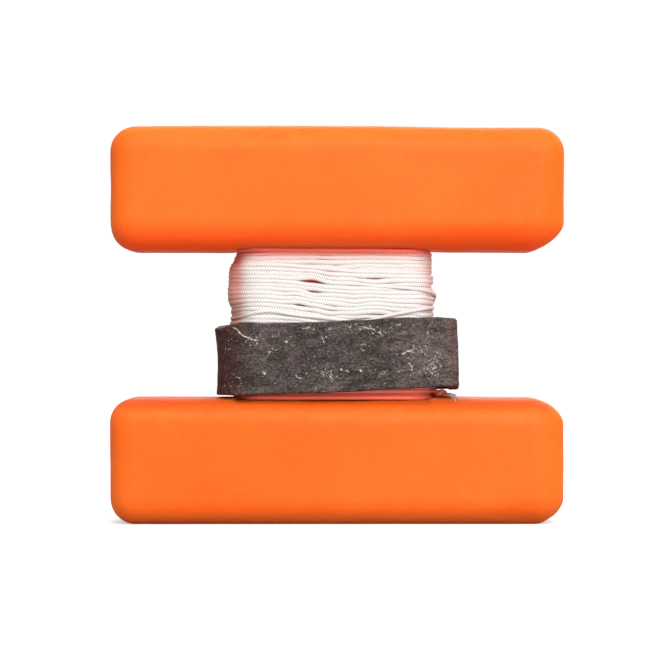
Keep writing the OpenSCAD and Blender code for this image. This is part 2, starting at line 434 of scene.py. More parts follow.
def lead_material():
    m = Surface("lead_oxidised")
    strip = m.attribute("strip_co", "Vector")   # mm: along the strip, height, through
    big = m.noise(m.scaled(strip, (0.085,) * 3), detail=3.0, rough=0.55)
    mid = m.noise(m.scaled(strip, (0.22, 0.46, 0.36)), detail=4.0, rough=0.62, distortion=0.4)
    small = m.noise(m.scaled(strip, (1.15, 1.7, 1.3)), detail=4.0, rough=0.65)
    grit = m.noise(m.scaled(strip, (4.2,) * 3), detail=3.0, rough=0.6)
    hue = m.noise(m.scaled(strip, (0.16,) * 3), detail=3.0, rough=0.6, distortion=0.6)

    # grey skin: a brightness from four sizes of noise and the painted light across the front,
    # through dark, middle and pale
    bright = m.add(m.swing(big, 0.85), m.swing(mid, 1.65), m.swing(small, 2.5),
                   m.swing(grit, 2.1), 0.5, m.attribute("strip_painted_light"))
    dark, middle, pale = [
        m.mix(m.ramp(hue, (0.40, 0.62)), srgb(*first), srgb(*second))
        for first, second in (((21, 15, 14), (21, 14, 15)),
                              ((59, 50, 44), (58, 48, 48)),
                              ((104, 94, 86), (104, 92, 92)))]
    colour = m.mix(m.ramp(bright, (0.02, 0.5), kind="LINEAR"), dark, middle)
    colour = m.mix(m.ramp(bright, (0.5, 1.15), kind="LINEAR"), colour, pale)

    # red-brown, most of all at the left: partly oxide bloom, partly painted shade on the bends
    # and along the bottom edge
    rust_and_shade = m.mix(m.ramp(bright, (0.1, 0.9), kind="LINEAR"), srgb(34, 12, 8), srgb(84, 38, 29))
    bloom_and_shade = m.mul(m.attribute("strip_brown_and_shade"), m.ramp(small, (0.25, 0.62), to=(1.0, 0.62)))
    colour = m.mix(bloom_and_shade, colour, rust_and_shade)

    # bare, bright metal where the skin is broken
    broken = m.noise(m.scaled(strip, (2.6, 3.4, 3.0)), detail=4.0, rough=0.75, distortion=0.5)
    bare = m.add(m.mul(m.attribute("strip_bare"), 0.30), m.sub(broken, 0.5))
    bare = m.ramp(bare, (0.135, 0.250))
    # small knocks of different sizes, thick where the strip has been hit most
    wobble = m.noise(m.scaled(strip, (1.9,) * 3), detail=2.0, rough=0.5, output="Color")
    shifted = m.node("ShaderNodeVectorMath", {
        0: wobble, 1: (1.3, 1.3, 1.3), 2: m.scaled(strip, (1.7, 2.2, 1.9))},
        operation="MULTIPLY_ADD").outputs[0]
    chance, size_pick, bright_pick = m.split(m.voronoi(shifted, scale=1.0, output="Color"))
    size = m.math("MULTIPLY_ADD", size_pick, 0.24, 0.15)
    spot = m.ramp(m.math("DIVIDE", m.voronoi(shifted, scale=1.0), size), (1.15, 0.65))
    chosen = m.math("LESS_THAN", chance, m.add(m.attribute("strip_fleck"), 0.010))
    spot = m.mul(spot, chosen, m.ramp(bright_pick, (0.0, 0.8), to=(0.5, 1.0)))
    bare = m.math("MAXIMUM", bare, spot)
    colour = m.mix(m.mul(bare, 0.92), colour, srgb(208, 199, 194))

    # dark pits and worn edges
    colour = m.mix(m.mul(m.attribute("strip_pit"), 0.8), colour, srgb(26, 18, 17))
    worn = m.mul(m.attribute("strip_edge"), m.ramp(small, (0.45, 0.70), to=(0.0, 0.30)))
    colour = m.mix(worn, colour, srgb(120, 108, 104))

    rough = m.sub(m.add(m.mul(small, 0.25), 0.55), m.mul(bare, 0.22))
    m.look(colour, rough=rough, specular=0.28)
    m.fill(m.bsdf, {"Metallic": 0.10})
    m.bumps((mid, 0.28, 0.00040), (small, 0.32, 0.00022), (grit, 0.32, 0.00008),
            (bare, 0.30, 0.00006))
    return m.material


FOAM, LINE, LEAD = foam_material(), line_material(), lead_material()

# ------------------------------------------------------------------ foam float

FOAM_STEP = 0.74
EDGE_DEPTH = 8.2                # radius of the bars' long edges, front to back
CROWN = 0.15                    # how far the top falls towards the ends
# superellipse corners: X radius, Z radius, exponent
# at bottom left, bottom right, top right, top left
LOWER_CORNERS = ((7.2, 7.4, 2.1), (8.2, 7.0, 1.75), (9.6, 7.7, 1.85), (7.4, 7.2, 2.1))
UPPER_CORNERS = ((7.6, 8.2, 2.1), (9.8, 8.2, 1.6), (7.6, 7.6, 2.15), (7.8, 7.4, 2.1))


def box_surface(half, step):
    """Points of a gridded box surface, with shared vertices, and its quads."""
    counts = [max(4, int(round(2 * size / step))) for size in half]
    points, quads, used = [], [], 0
    for axis in range(3):
        across, up = [k for k in range(3) if k != axis]
        place_across, place_up = np.meshgrid(
            np.arange(counts[across] + 1), np.arange(counts[up] + 1), indexing="ij")
        for sign in (-1, 1):
            index = np.zeros((place_across.size, 3), int)
            index[:, across] = place_across.ravel()
            index[:, up] = place_up.ravel()
            index[:, axis] = 0 if sign < 0 else counts[axis]
            k = np.arange(place_across.size).reshape(place_across.shape)
            face = np.stack([k[:-1, :-1], k[1:, :-1], k[1:, 1:], k[:-1, 1:]], -1).reshape(-1, 4)
            if (sign < 0) ^ (axis == 1):
                face = face[:, ::-1]
            points.append(index)
            quads.append(face + used)
            used += place_across.size
    shared, inverse = np.unique(np.concatenate(points), axis=0, return_inverse=True)
    unit = shared / np.array(counts) * 2 - 1
    return unit * half, inverse.ravel()[np.concatenate(quads)]


def round_box(flat, half, corners):
    """Round a box's edges; returns the points and their outward directions."""
    right = smooth(flat[:, 0], -half[0], half[0])[:, None]
    high = smooth(flat[:, 2], -half[2], half[2])[:, None]
    bottom_left, bottom_right, top_right, top_left = np.array(corners, float)
    shape = (bottom_left * ((1 - right) * (1 - high)) + bottom_right * (right * (1 - high))
             + top_right * (right * high) + top_left * ((1 - right) * high))
    radii = grid(shape[:, 0], EDGE_DEPTH, shape[:, 1])
    power = shape[:, 2:3]
    inner = np.clip(flat, -(half - radii), half - radii)
    offset = (flat - inner) / radii
    offset = offset / (np.abs(offset) ** power).sum(1, keepdims=True) ** (1 / power)
    outward = np.sign(offset) * np.abs(offset) ** (power - 1) / radii
    outward /= np.linalg.norm(outward, axis=1)[:, None]
    return inner + radii * offset, outward


def foam_bar(bottom, height, corners, slope, seed):
    lower = bottom == 0
    half = np.array([BAR_LENGTH / 2, BAR_DEPTH / 2, height / 2])
    half_height = half[2]
    flat, quads = box_surface(half, FOAM_STEP)
    points, outward = round_box(flat, half, corners)
    placed = points + np.array([0, 0, bottom + half_height])

    # hand-trimmed foam: soft waves and a few shallow dents
    wave = 0.20 * rich_noise(placed, 30.0, seed) + 0.05 * rich_noise(placed, 7.0, seed + 5) - 0.16
    random = np.random.default_rng(seed)
    for _ in range(16):
        k = random.integers(len(placed))
        radius = random.uniform(1.6, 4.0)
        depth = random.uniform(0.06, 0.20)
        distance2 = ((placed - placed[k]) ** 2).sum(1)
        wave -= depth * np.exp(-distance2 / (radius * radius))
    if lower:                   # the lower bar's underside stays flat
        wave = wave * smooth(placed[:, 2], 0.0, 1.2)
    points = points + outward * wave[:, None]
    if lower:
        points[:, 2] = np.maximum(points[:, 2], -half_height)

    # the top falls towards both ends, and may slope down to the right
    top = smooth(flat[:, 2], 0, half_height)
    points[:, 2] -= CROWN * (points[:, 0] / half[0]) ** 2 * top
    points[:, 2] -= slope * smooth(points[:, 0], -5, 48) * top

    # the line has pressed a shallow bed into the face it touches
    x, y, z = points.T
    bed = fall(np.abs(x - WEB_X), 26.2, 28.2) * fall(np.abs(y), 14.2, 17.2)
    if lower:
        points[:, 2] -= 0.55 * bed * smooth(z - half_height, -3.2, -0.6)
    else:
        points[:, 2] += (0.52 - 0.20 * (x - WEB_X) / 28) * bed * fall(z + half_height, 0.6, 3.2)
    points[:, 2] += bottom + half_height
    return points, quads


def foam_web():
    """A rounded prism that runs 4 mm into both bars."""
    levels, around = ((30, 150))
    angle = np.linspace(0, 2 * np.pi, around, endpoint=False)
    dx, dy = np.cos(angle), np.sin(angle)
    power = 6.0
    reach = (np.abs(dx / WEB_HALF_X) ** power + np.abs(dy / WEB_HALF_Y) ** power) ** (-1 / power)
    heights = np.linspace(LOWER_TOP - 4, UPPER_BOTTOM + 4, levels)
    points = grid(dx * reach + WEB_X, dy * reach, heights[:, None]).reshape(-1, 3)
    rings = np.arange(levels * around).reshape(levels, around)
    return build_mesh("foam_web", points, [bridge(rings), np.stack([rings[0][::-1], rings[-1]])])


def build_float():
    lower, lower_quads = foam_bar(0.0, LOWER_TOP, LOWER_CORNERS, slope=0.0, seed=11)
    upper, upper_quads = foam_bar(UPPER_BOTTOM, FLOAT_HI[2] - UPPER_BOTTOM, UPPER_CORNERS,
                                  slope=0.45, seed=23)
    bars = build_mesh("float_foam", np.concatenate([lower, upper]),
                      [lower_quads, upper_quads + len(lower)])
    web_mesh = foam_web()
    body = add_object("float_foam", bars, FOAM)
    web = add_object("foam_web", web_mesh, FOAM)
    join = body.modifiers.new("join_web", "BOOLEAN")
    join.operation = "UNION"
    join.solver = "EXACT"
    join.object = web
    graph = bpy.context.evaluated_depsgraph_get()
    joined = bpy.data.meshes.new_from_object(body.evaluated_get(graph), depsgraph=graph)
    body.modifiers.clear()
    body.data = joined
    joined.name = "float_foam"
    bpy.data.objects.remove(web)
    joined.polygons.foreach_set("use_smooth", np.ones(len(joined.polygons), bool))
    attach(body, "float")
    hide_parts("float_body")


# ------------------------------------------------------------------ braided line


def unit_rows(vectors):
    return vectors / np.linalg.norm(vectors, axis=1)[:, None]


def level_frames(path):
    """Side and up directions of a nearly level path."""
    tangent = unit_rows(np.gradient(path, axis=0))
    up = unit_rows(np.array([0, 0, 1.0]) - tangent * tangent[:, 2:3])
    return np.cross(tangent, up), up


def free_frames(path, closed=False):
    """Two cross directions that twist as little as they can along any path."""
    if closed:
        tangent = unit_rows(np.roll(path, -1, 0) - np.roll(path, 1, 0))
    else:
        tangent = unit_rows(np.gradient(path, axis=0))
    first = np.zeros_like(tangent)
    helper = np.array([0, 0, 1.0]) if abs(tangent[0, 2]) < 0.8 else np.array([0, 1.0, 0])
    first[0] = np.cross(tangent[0], helper)
    first[0] /= np.linalg.norm(first[0])
    for i in range(1, len(tangent)):
        carried = first[i - 1] - tangent[i] * np.dot(first[i - 1], tangent[i])
        first[i] = carried / np.linalg.norm(carried)
    second = np.cross(tangent, first)
    if closed:                  # spread the twist that's left over the whole loop
        carried = first[-1] - tangent[0] * np.dot(first[-1], tangent[0])
        twist = math.atan2(np.dot(carried, second[0]), np.dot(carried, first[0]))
        angle = -twist * np.arange(len(path)) / len(path)
        cos, sin = np.cos(angle)[:, None], np.sin(angle)[:, None]
        first, second = first * cos + second * sin, second * cos - first * sin
    return first, second


def braid_height(around, along):
    """Relief of an eight-yarn braid: 0 in the grooves, 1 on the crowns."""
    run = 4 * np.pi * along / BRAID_PITCH
    right_hand = np.cos(2 * around + run)
    left_hand = np.cos(2 * around - run)
    over = 0.68 + 0.32 * np.tanh(2.6 * right_hand * left_hand)
    return np.clip(over * right_hand**2 + (1 - over) * left_hand**2, 0, 1)


def foam_bounce_and_shade(points, inner_top=None):
    """Painted foam reflection and painted shade on the line: near the bars, at the pack's two
    ends and in its depths.

    inner_top is given for the inner layer: the height above which it lies bare.
    """
    x, y, z = points.T
    above = np.maximum(z - LOWER_TOP, 0)
    below = np.maximum(UPPER_BOTTOM - z, 0)
    near = ((0.84 + 0.13 * fall(above, 0.4, 1.8)) * fall(above, 2.0, 5.2)
            + 0.85 * np.exp(-(below / 1.25) ** 2) + 0.12 * np.exp(-below / 4.0))
    if inner_top is not None:
        deep = 0.92 * smooth(inner_top - z, 0.4, 1.6)
    else:
        past_x = np.abs(x - WEB_X) - (WEB_HALF_X - WEB_CORNER)
        past_y = np.abs(y) - (WEB_HALF_Y - WEB_CORNER)
        outside = (np.sqrt(np.maximum(past_x, 0) ** 2 + np.maximum(past_y, 0) ** 2)
                   + np.minimum(np.maximum(past_x, past_y), 0) - WEB_CORNER)
        deep = 0.80 * smooth(5.25 - outside, 0.0, 1.0) * fall(np.abs(x - WEB_X), 20, 24)
    # painted shade and orange reflection at the pack's two ends, more at the left and higher up
    high = smooth(z, 55, 73)
    left = (0.42 + 0.16 * high + 0.26 * smooth(z, 70, 74)) * smooth(WEB_X - x, 23.8, 27.2)
    right = (0.18 + 0.10 * high) * smooth(x - WEB_X, 24.6, 27.4)
    clear = (1 - np.clip(near, 0, 1)) * (1 - deep) * (1 - left) * (1 - right)
    return np.clip(1 - clear, 0, 1)


class Cords:
    """Gathers braided tubes into one object."""

    def __init__(self):
        self.points, self.faces, self.corners, self.red, self.count = [], [], [], [], 0

    def tube(self, path, frame, radius=CORD_RADIUS, sides=CORD_SIDES, relief=0.055,
             squash=(1.0, 1.0), start=0.0, strand=0.0, closed=False, taper=None, red=foam_bounce_and_shade):
        """Add a tube. frame holds its two cross directions, and squash scales them.

        start and strand shift the braid and its texture; red, the painted foam reflection and
        shade, is a value or a function of points.
        """
        count = len(path)
        whole = np.concatenate([path, path[:1]]) if closed else path
        along = np.concatenate([[0], np.cumsum(np.linalg.norm(np.diff(whole, axis=0), axis=1))])
        if closed:              # a whole number of braid repeats round a closed loop
            repeat = BRAID_PITCH / 2
            along = along * (round(along[-1] / repeat) * repeat) / along[-1]
        along = (start + along)[:, None]
        around = np.arange(sides) / sides * 2 * np.pi
        size = radius - relief * (1 - braid_height(around, along[:count]))
        if taper is not None:
            size = size * taper[:, None]
        sideways = (np.cos(around) * size * squash[0])[..., None]
        upward = (np.sin(around) * size * squash[1])[..., None]
        points = path[:, None] + frame[0][:, None] * sideways + frame[1][:, None] * upward
        points = points.reshape(-1, 3)

        rings = np.arange(count * sides).reshape(count, sides)
        loop = np.concatenate([rings, rings[:1]]) if closed else rings
        self.faces.append(bridge(loop) + self.count)
        after = around + 2 * np.pi / sides
        corners = [grid(along[:-1], around, strand), grid(along[:-1], after, strand),
                   grid(along[1:], after, strand), grid(along[1:], around, strand)]
        self.corners.append(np.stack(corners, 2).reshape(-1, 3))
        if not closed:
            self.faces.append(np.stack([rings[0][::-1], rings[-1]]) + self.count)
            self.corners.append(np.zeros((2 * sides, 3)))
        self.points.append(points)
        self.red.append(red(points) if callable(red) else np.broadcast_to(red, len(points)))
        self.count += len(points)

    def build(self, name, wound=False, inner=False):
        points = np.concatenate(self.points)
        red = np.concatenate(self.red)
        x, _, z = points.T
        mesh = build_mesh(name, points, self.faces)
        set_float(mesh, "cord_foam_bounce", red)
        shade = np.zeros(len(points))
        if wound:               # the turns darken at the pack's left end
            shade = np.clip((WEB_X - x - 23.0) / 3.2, 0, 1) * (0.26 + 0.46 * fall(z, 58, 66))
        if inner:               # what shows through the gaps lies in the dark
            gaps = band(z, (LOWER_TOP + 8, LOWER_TOP + 12), (UPPER_BOTTOM - 6, UPPER_BOTTOM - 4))
            shade = np.maximum(shade, 0.9 * smooth(red, 0.75, 0.9) * gaps)
        set_float(mesh, "cord_shade", shade)
        set_vector(mesh, "cord_co", np.concatenate(self.corners), "CORNER")
        return add_object(name, mesh, LINE)


# ------------------------------------------------------------------ track round the web


def web_track(count):
    """Closed path round the web: points, outward directions, length, and side marks.

    It starts at the back's right-hand end and goes by the left, the front and the right.
    Each mark is the share of the track at which a straight side starts and stops.
    """
    half_x, half_y = WEB_HALF_X - WEB_CORNER, WEB_HALF_Y - WEB_CORNER
    turn_radius = WEB_CORNER + 5.2      # steps are even at this radius, out in the turns
    arc = math.pi / 2 * turn_radius
    straight = (2 * half_x, 2 * half_y) * 2
    total = sum([2 * half_x, arc, 2 * half_y, arc] * 2)
    distance = np.arange(count) / count * total
    base = np.zeros((count, 2))
    outward = np.zeros((count, 2))
    corners = [(half_x, half_y), (-half_x, half_y), (-half_x, -half_y), (half_x, -half_y)]
    directions = [(-1, 0), (0, -1), (1, 0), (0, 1)]
    outs = [(0, 1), (-1, 0), (0, -1), (1, 0)]
    marks, at = [], 0.0
    for side, length in enumerate(straight):
        out = np.array(outs[side], float)
        on = (distance >= at - 1e-9) & (distance < at + length)
        travelled = (distance[on] - at)[:, None] * np.array(directions[side])
        base[on] = np.array(corners[side]) + travelled + out * WEB_CORNER
        outward[on] = out
        marks.append((at / total, (at + length) / total))
        at += length
        on = (distance >= at - 1e-9) & (distance < at + arc)
        angle = math.atan2(out[1], out[0]) + (distance[on] - at) / arc * math.pi / 2
        turned = np.stack([np.cos(angle), np.sin(angle)], 1)
        base[on] = np.array(corners[(side + 1) % 4]) + turned * WEB_CORNER
        outward[on] = turned
        at += arc
    base[:, 0] += WEB_X
    return base, outward, total, marks


TRACK_COUNT = 672
BASE, OUTWARD, TRACK_LENGTH, SIDE_MARKS = web_track(TRACK_COUNT)
BACK_SIDE, LEFT_SIDE, FRONT_SIDE, RIGHT_SIDE = SIDE_MARKS
SHARE = np.arange(TRACK_COUNT) / TRACK_COUNT        # share of the track at each sample
LEFT_MID = sum(LEFT_SIDE) / 2
RIGHT_MID = sum(RIGHT_SIDE) / 2


def front_at(x):
    """Share of the track at a point on the front side, from its X."""
    start, stop = FRONT_SIDE
    half = WEB_HALF_X - WEB_CORNER
    return start + (stop - start) * (x - WEB_X + half) / (2 * half)


def track_path(depth, height, count=None):
    """Points at a depth outside the base track, for the first count samples."""
    x, y = (BASE[:count] + OUTWARD[:count] * np.reshape(depth, (-1, 1))).T
    return grid(x, y, height)


def track_noise(level, size, seed):
    """Noise that closes on itself round the track."""
    radius = TRACK_LENGTH / (2 * np.pi)
    angle = 2 * np.pi * SHARE
    return value_noise(grid(np.cos(angle) * radius, np.sin(angle) * radius, level), size, seed)


def end_weight(mid):
    """1 at the middle of one end of the pack, 0 away from it."""
    distance = np.abs((SHARE - mid + 0.5) % 1.0 - 0.5)
    return 1 - smooth(distance, 0.028, 0.109)


LEFT_END, RIGHT_END = end_weight(LEFT_MID), end_weight(RIGHT_MID)
PACK_ENDS = np.maximum(LEFT_END, RIGHT_END)


def turn_lean():
    """1 where the turns stand high at the left, 0 at the right: they run down across
    the front and back up behind."""
    right = (RIGHT_MID - LEFT_MID) % 1.0
    stations = [0.0, (front_at(-19.0) - LEFT_MID) % 1.0, (front_at(13.0) - LEFT_MID) % 1.0,
                right, right + 0.10, 0.97, 1.0]
    high = [1.0, 1.0, 0.0, 0.0, 0.0, 1.0, 1.0]
    return smooth(np.interp((SHARE - LEFT_MID) % 1.0, stations, high))


LEAN = turn_lean()
OUTER_SPAN = (OUTER_LO[2] + CORD_RADIUS, OUTER_HI[2] - CORD_RADIUS)
INNER_SPAN = (INNER_LO[2] + CORD_RADIUS, INNER_HI[2] - CORD_RADIUS - 0.05)
OUTER_DROP = 2.2                        # how much lower the outer layer's top is at the right
OUTER_TOP = OUTER_SPAN[1] - OUTER_DROP * (1 - LEAN)

# ------------------------------------------------------------------ wound line

# how far the turns are pulled in at one end of the pack: heights, then distances
OUTER_PULL_LEFT = (
    [36, 56, 57.8, 58.4, 59.3, 60.4, 61.3, 62.2, 65.8, 66.5, 70.9, 71.7, 72.6, 73.1],
    [0.3, 0.35, 1.1, 0.8, 0.5, 0.85, 0.3, -0.1, -0.1, 0.15, 0.15, 0.45, 0.85, 1.10])
OUTER_PULL_RIGHT = (
    [36, 56, 57.9, 59.6, 60.7, 61.3, 63, 65, 66.3, 67, 68.3, 69.7, 72.6, 75],
    [0.2, 1.1, 1.2, 1.45, 1.75, 1.25, 0.9, 1.2, 1.75, 1.45, 0.95, 1.8, 1.9, 1.9])
# the same for the inner turns where they are bare under the upper bar
BARE_PULL_LEFT = ([72, 73.5, 74.5, 76], [0.10, 0.20, 0.70, 1.25])
BARE_PULL_RIGHT = ([69, 72, 74, 76], [0.45, 0.6, 0.5, 0.6])

# gaps that show between turns on the front: X, Z, half length, how much
GAPS = [
    (-7.0, 68.1, 4.2, 1.20), (-6.6, 65.2, 2.7, 0.78), (10.6, 68.9, 3.6, 0.62),
    (3.9, 67.0, 3.2, 0.34), (11.7, 58.9, 4.2, 0.50), (-10.4, 61.6, 2.7, 0.62),
    (-19.8, 71.0, 3.0, 0.26), (-7.5, 72.8, 5.5, 0.34), (1.5, 61.2, 3.5, 0.32),
    (20.0, 65.7, 4.0, 0.24), (-16.6, 64.9, 3.4, 0.26), (6.5, 63.4, 5.0, 0.26),
    (-12.0, 63.2, 3.0, 0.22), (14.5, 66.9, 4.0, 0.28), (-2.0, 70.3, 4.5, 0.24),
    (17.0, 61.8, 3.6, 0.22)]

# strands that cross over the turns on the front: share of the track, Z, depth
CROSSING_STRANDS = [
    [(front_at(3.0), 56.2, 4.6), (front_at(9.0), 56.9, 5.2), (front_at(13.4), 57.9, 5.7),
     (front_at(19.0), 59.1, 5.75), (front_at(24.0), 60.0, 5.5), (RIGHT_MID - 0.02, 60.4, 4.4),
     (RIGHT_MID + 0.085, 60.9, 4.7), (1.06, 61.4, 4.6), (1.10, 61.6, 4.2)],
    [(LEFT_MID - 0.075, 56.9, 4.5), (LEFT_MID, 57.3, 4.8), (front_at(-25.5), 58.2, 5.35),
     (front_at(-22.5), 59.0, 5.65), (front_at(-19.8), 59.45, 5.75),
     (front_at(-15.6), 59.05, 5.8), (front_at(-11.7), 58.4, 5.8), (front_at(-6.1), 57.8, 5.75),
     (front_at(-0.6), 57.1, 5.7), (front_at(8.0), 56.0, 5.3), (front_at(14.0), 55.3, 4.6)],
    [(front_at(4.0), 66.4, 4.7), (front_at(11.0), 66.3, 5.2), (front_at(18.0), 66.0, 5.45),
     (front_at(23.0), 65.5, 5.5), (RIGHT_MID - 0.055, 64.8, 5.15),
     (RIGHT_MID - 0.01, 63.5, 5.05), (RIGHT_MID + 0.035, 61.9, 4.7),
     (RIGHT_MID + 0.075, 60.9, 4.6), (1.05, 60.5, 4.5), (1.09, 60.2, 4.2)]]


def pull_in(height, left_table, right_table):
    left, right = np.interp(height, *left_table), np.interp(height, *right_table)
    return left * LEFT_END + right * RIGHT_END


def turn_heights(count, low, high, drop, seed):
    """Heights of the turns at every track sample, running on from one turn to the next."""
    pitch = 1.12                # the least rise from one turn to the next
    turn = np.arange(count + 1)
    slack = high - drop * (1 - LEAN) - low - (count - 1) * pitch
    level = (turn * 6.7)[:, None]
    extra = (np.maximum(0, track_noise(level, 9.0, seed) - 0.30) ** 1.3 * 0.75
             + 0.11 * track_noise(level, 6.5, seed + 3))
    extra[turn < 2] *= 0.3
    # random gaps take three quarters of the slack at most, and the lowest turns the rest
    room = np.maximum(slack, 0.15)
    total = extra[:count - 1].sum(0)
    extra = extra * np.minimum(1.0, 0.75 * room / np.maximum(total, 1e-6))
    rest = slack - extra[:count - 1].sum(0)
    lowest = np.exp(-((turn - 2.5) / 3.0) ** 2)
    lowest[count - 1:] = 0
    steps = pitch + extra + (lowest / lowest.sum())[:, None] * rest
    sums = np.concatenate([np.zeros((1, TRACK_COUNT)), np.cumsum(steps, 0)])[:count]
    before = np.concatenate([np.full((1, TRACK_COUNT), pitch), steps[:count - 1]])
    # each turn climbs from the one below as it crosses the back
    climb = smooth(SHARE, BACK_SIDE[0], BACK_SIDE[1] + 0.02)
    return low + sums - before * (1 - climb)


def part_turns(heights):
    """Part the turns at the gaps, and press their neighbours together."""
    rows = np.arange(len(heights))
    shift = np.zeros_like(heights)
    for x, height, half, amount in GAPS:
        share = front_at(x)
        sample = int(round(share * TRACK_COUNT)) % TRACK_COUNT
        above = int(np.searchsorted(heights[:, sample], height))
        shape = np.exp(-((((SHARE - share) * TRACK_LENGTH) / half) ** 2) * 1.2)
        away = np.where(rows >= above, rows - above, above - 1 - rows)
        push = np.where(rows >= above, 0.42, -0.58) * amount
        shift += (push * np.maximum(0.0, 1 - away / 5.0) ** 1.2)[:, None] * shape
    return heights + shift


class WoundLayer:
    """One layer of turns: the height and depth of each turn at every track sample."""

    def __init__(self, count, span, drop, depth, seed, inner=False, crossings=()):
        self.count, self.seed, self.inner = count, seed, inner
        height = turn_heights(count, *span, drop, seed)
        if not inner:
            height = part_turns(height)
        level = (np.arange(count) * 3.1)[:, None]
        depth = (depth + 0.15 * track_noise(level, 5.5, seed + 9)
                 + (0.06 + 0.20 * PACK_ENDS) * track_noise(level, 7.0, seed + 17))
        if inner:
            edge = OUTER_TOP + CORD_RADIUS
            bare = smooth(height, edge - 1.3, edge - 0.3)
            covered = np.minimum(height, OUTER_TOP)
            depth = (depth - pull_in(covered, OUTER_PULL_LEFT, OUTER_PULL_RIGHT) * (1 - bare)
                     - pull_in(height, BARE_PULL_LEFT, BARE_PULL_RIGHT) * bare)
        else:
            depth = depth - pull_in(height, OUTER_PULL_LEFT, OUTER_PULL_RIGHT)
        for share, crossing_height, pressing in crossings:      # turns give way under them
            distance = height - np.interp(SHARE, share, crossing_height)
            depth = depth - 0.42 * np.exp(-((distance / 0.85) ** 2)) * pressing
        depth[0] -= 1.7 * fall(SHARE, 0.005, 0.045)             # the two ends are tucked in
        if inner:               # the top three turns rise a little on the front
            start, stop = FRONT_SIDE
            front = band(SHARE, (start - 0.01, start + 0.03), (stop - 0.03, stop + 0.01))
            for row, lift in ((-1, 0.30), (-2, 0.18), (-3, 0.08)):
                height[row] += lift * front
                depth[row] += 0.5 * lift * front
        else:
            depth[-1] -= 1.7 * smooth(SHARE, 0.945, 0.995)
            height[-1] += 0.3 * smooth(SHARE, 0.955, 0.999)
        self.height, self.depth = height, depth
        self.phase = np.random.default_rng(seed).uniform(0, 50, count)

    def turn_path(self, row):
        """One turn, carried on to meet the next; the inner layer's last dives under."""
        height, depth = self.height[row], self.depth[row]
        parts = [track_path(depth, height)]
        if row + 1 < self.count:
            parts.append(track_path(self.depth[row + 1], self.height[row + 1])[:1])
        elif self.inner:
            more = int((BACK_SIDE[1] + 0.02) * TRACK_COUNT)
            dive = np.linspace(0, 1, more)
            parts.append(track_path(depth[-1] - 2.2 * smooth(dive, 0.35, 1.0),
                                    height[-1] - 0.25 * dive, more))
        return np.concatenate(parts)

    def add_turns(self, cords, rows, sides=CORD_SIDES, skip=1, relief=0.055):
        """Add tubes for some turns; skip thins out their samples."""
        for row in rows:
            path = self.turn_path(row)
            if skip > 1:
                path = np.concatenate([path[:-1:skip], path[-1:]])
            tall = (1.26 + 0.14 * value_noise(path + np.array([0, 0, 7.7 * row]), 8.0,
                                              self.seed + 23)
                    + 0.13 * smooth(WEB_X - path[:, 0], 4, 18))
            if row in (0, self.count - 1):
                tall = np.minimum(tall, 1.1)
            red = foam_bounce_and_shade
            if self.inner:
                top = np.interp(np.arange(len(path)) * skip / TRACK_COUNT, SHARE, OUTER_TOP)
                top = top.repeat(sides) + 0.2
                red = lambda points, top=top: foam_bounce_and_shade(points, top)
            cords.tube(path, level_frames(path), sides=sides, squash=(0.95, tall[:, None]),
                       start=self.phase[row], strand=row, relief=relief, red=red)


def crossing_strand(stations):
    """Path of a crossing strand, and where it presses: share, height and strength."""
    share, height, depth = np.array(stations, float).T
    lengths = np.hypot(np.diff(share) * TRACK_LENGTH, np.diff(height))
    chord = np.concatenate([[0], np.cumsum(lengths)])
    along = np.linspace(0, chord[-1], int(chord[-1] / (0.3)))
    share, height, depth = [cubic_through(chord, column, along)
                            for column in (share, height, depth)]

    def at_share(column):
        return np.interp(share % 1.0, np.append(SHARE, 1.0), np.append(column, column[0]))

    base_x, base_y, out_x, out_y = [at_share(column) for column in (*BASE.T, *OUTWARD.T)]
    path = np.column_stack([base_x + out_x * depth, base_y + out_y * depth, height])
    order = np.argsort(share)
    pressing = np.interp(SHARE, share[order], smooth(depth[order], 4.7, 5.5), left=0, right=0)
    return path, (share[order], height[order], pressing)


def add_bedded_turn(cords, depth, end_pull, height, start, strand):
    """A closed turn that lies in the bed pressed into a bar."""
    ring = track_path(depth - end_pull * PACK_ENDS, height)
    side, up = level_frames(np.concatenate([ring[-1:], ring, ring[:1]]))
    cords.tube(ring, (side[1:-1], up[1:-1]), squash=(0.97, 1.06), start=start, strand=strand,
               closed=True)


def add_lowest_turn(cords):
    flutter = track_noise(0, 8.0, seed=93)
    add_bedded_turn(cords, depth=5.35 + 0.10 * flutter, end_pull=1.2,
                    height=LOWER_TOP - 0.02 + 0.06 * flutter, start=6.0, strand=92)


def add_topmost_turn(cords):
    flutter = track_noise(0, 8.0, seed=91)
    height = UPPER_BOTTOM + 0.28 - 0.24 * (BASE[:, 0] - WEB_X) / 28 + 0.06 * flutter
    add_bedded_turn(cords, depth=5.05 + 0.12 * flutter, end_pull=1.75, height=height,
                    start=4.0, strand=90)


def build_outer_turns():
    paths, crossings = zip(*[crossing_strand(stations) for stations in CROSSING_STRANDS])
    layer = WoundLayer(29, OUTER_SPAN, OUTER_DROP, depth=5.40, seed=5, crossings=crossings)
    for number, rows in enumerate((range(0, 8), range(8, 15), range(15, 22), range(22, 29)), 1):
        cords = Cords()
        layer.add_turns(cords, rows)
        if number == 1:
            add_lowest_turn(cords)
        if number == 3:
            for k, path in enumerate(paths):
                cords.tube(path, level_frames(path), squash=(0.95, 1.02), start=9.3 + 17 * k,
                           strand=60 + k)
        if number == 4:
            add_topmost_turn(cords)
        piece = cords.build(f"line_outer_turns_{number}", wound=True)
        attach(piece, "float")
    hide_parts("line_layer_5")


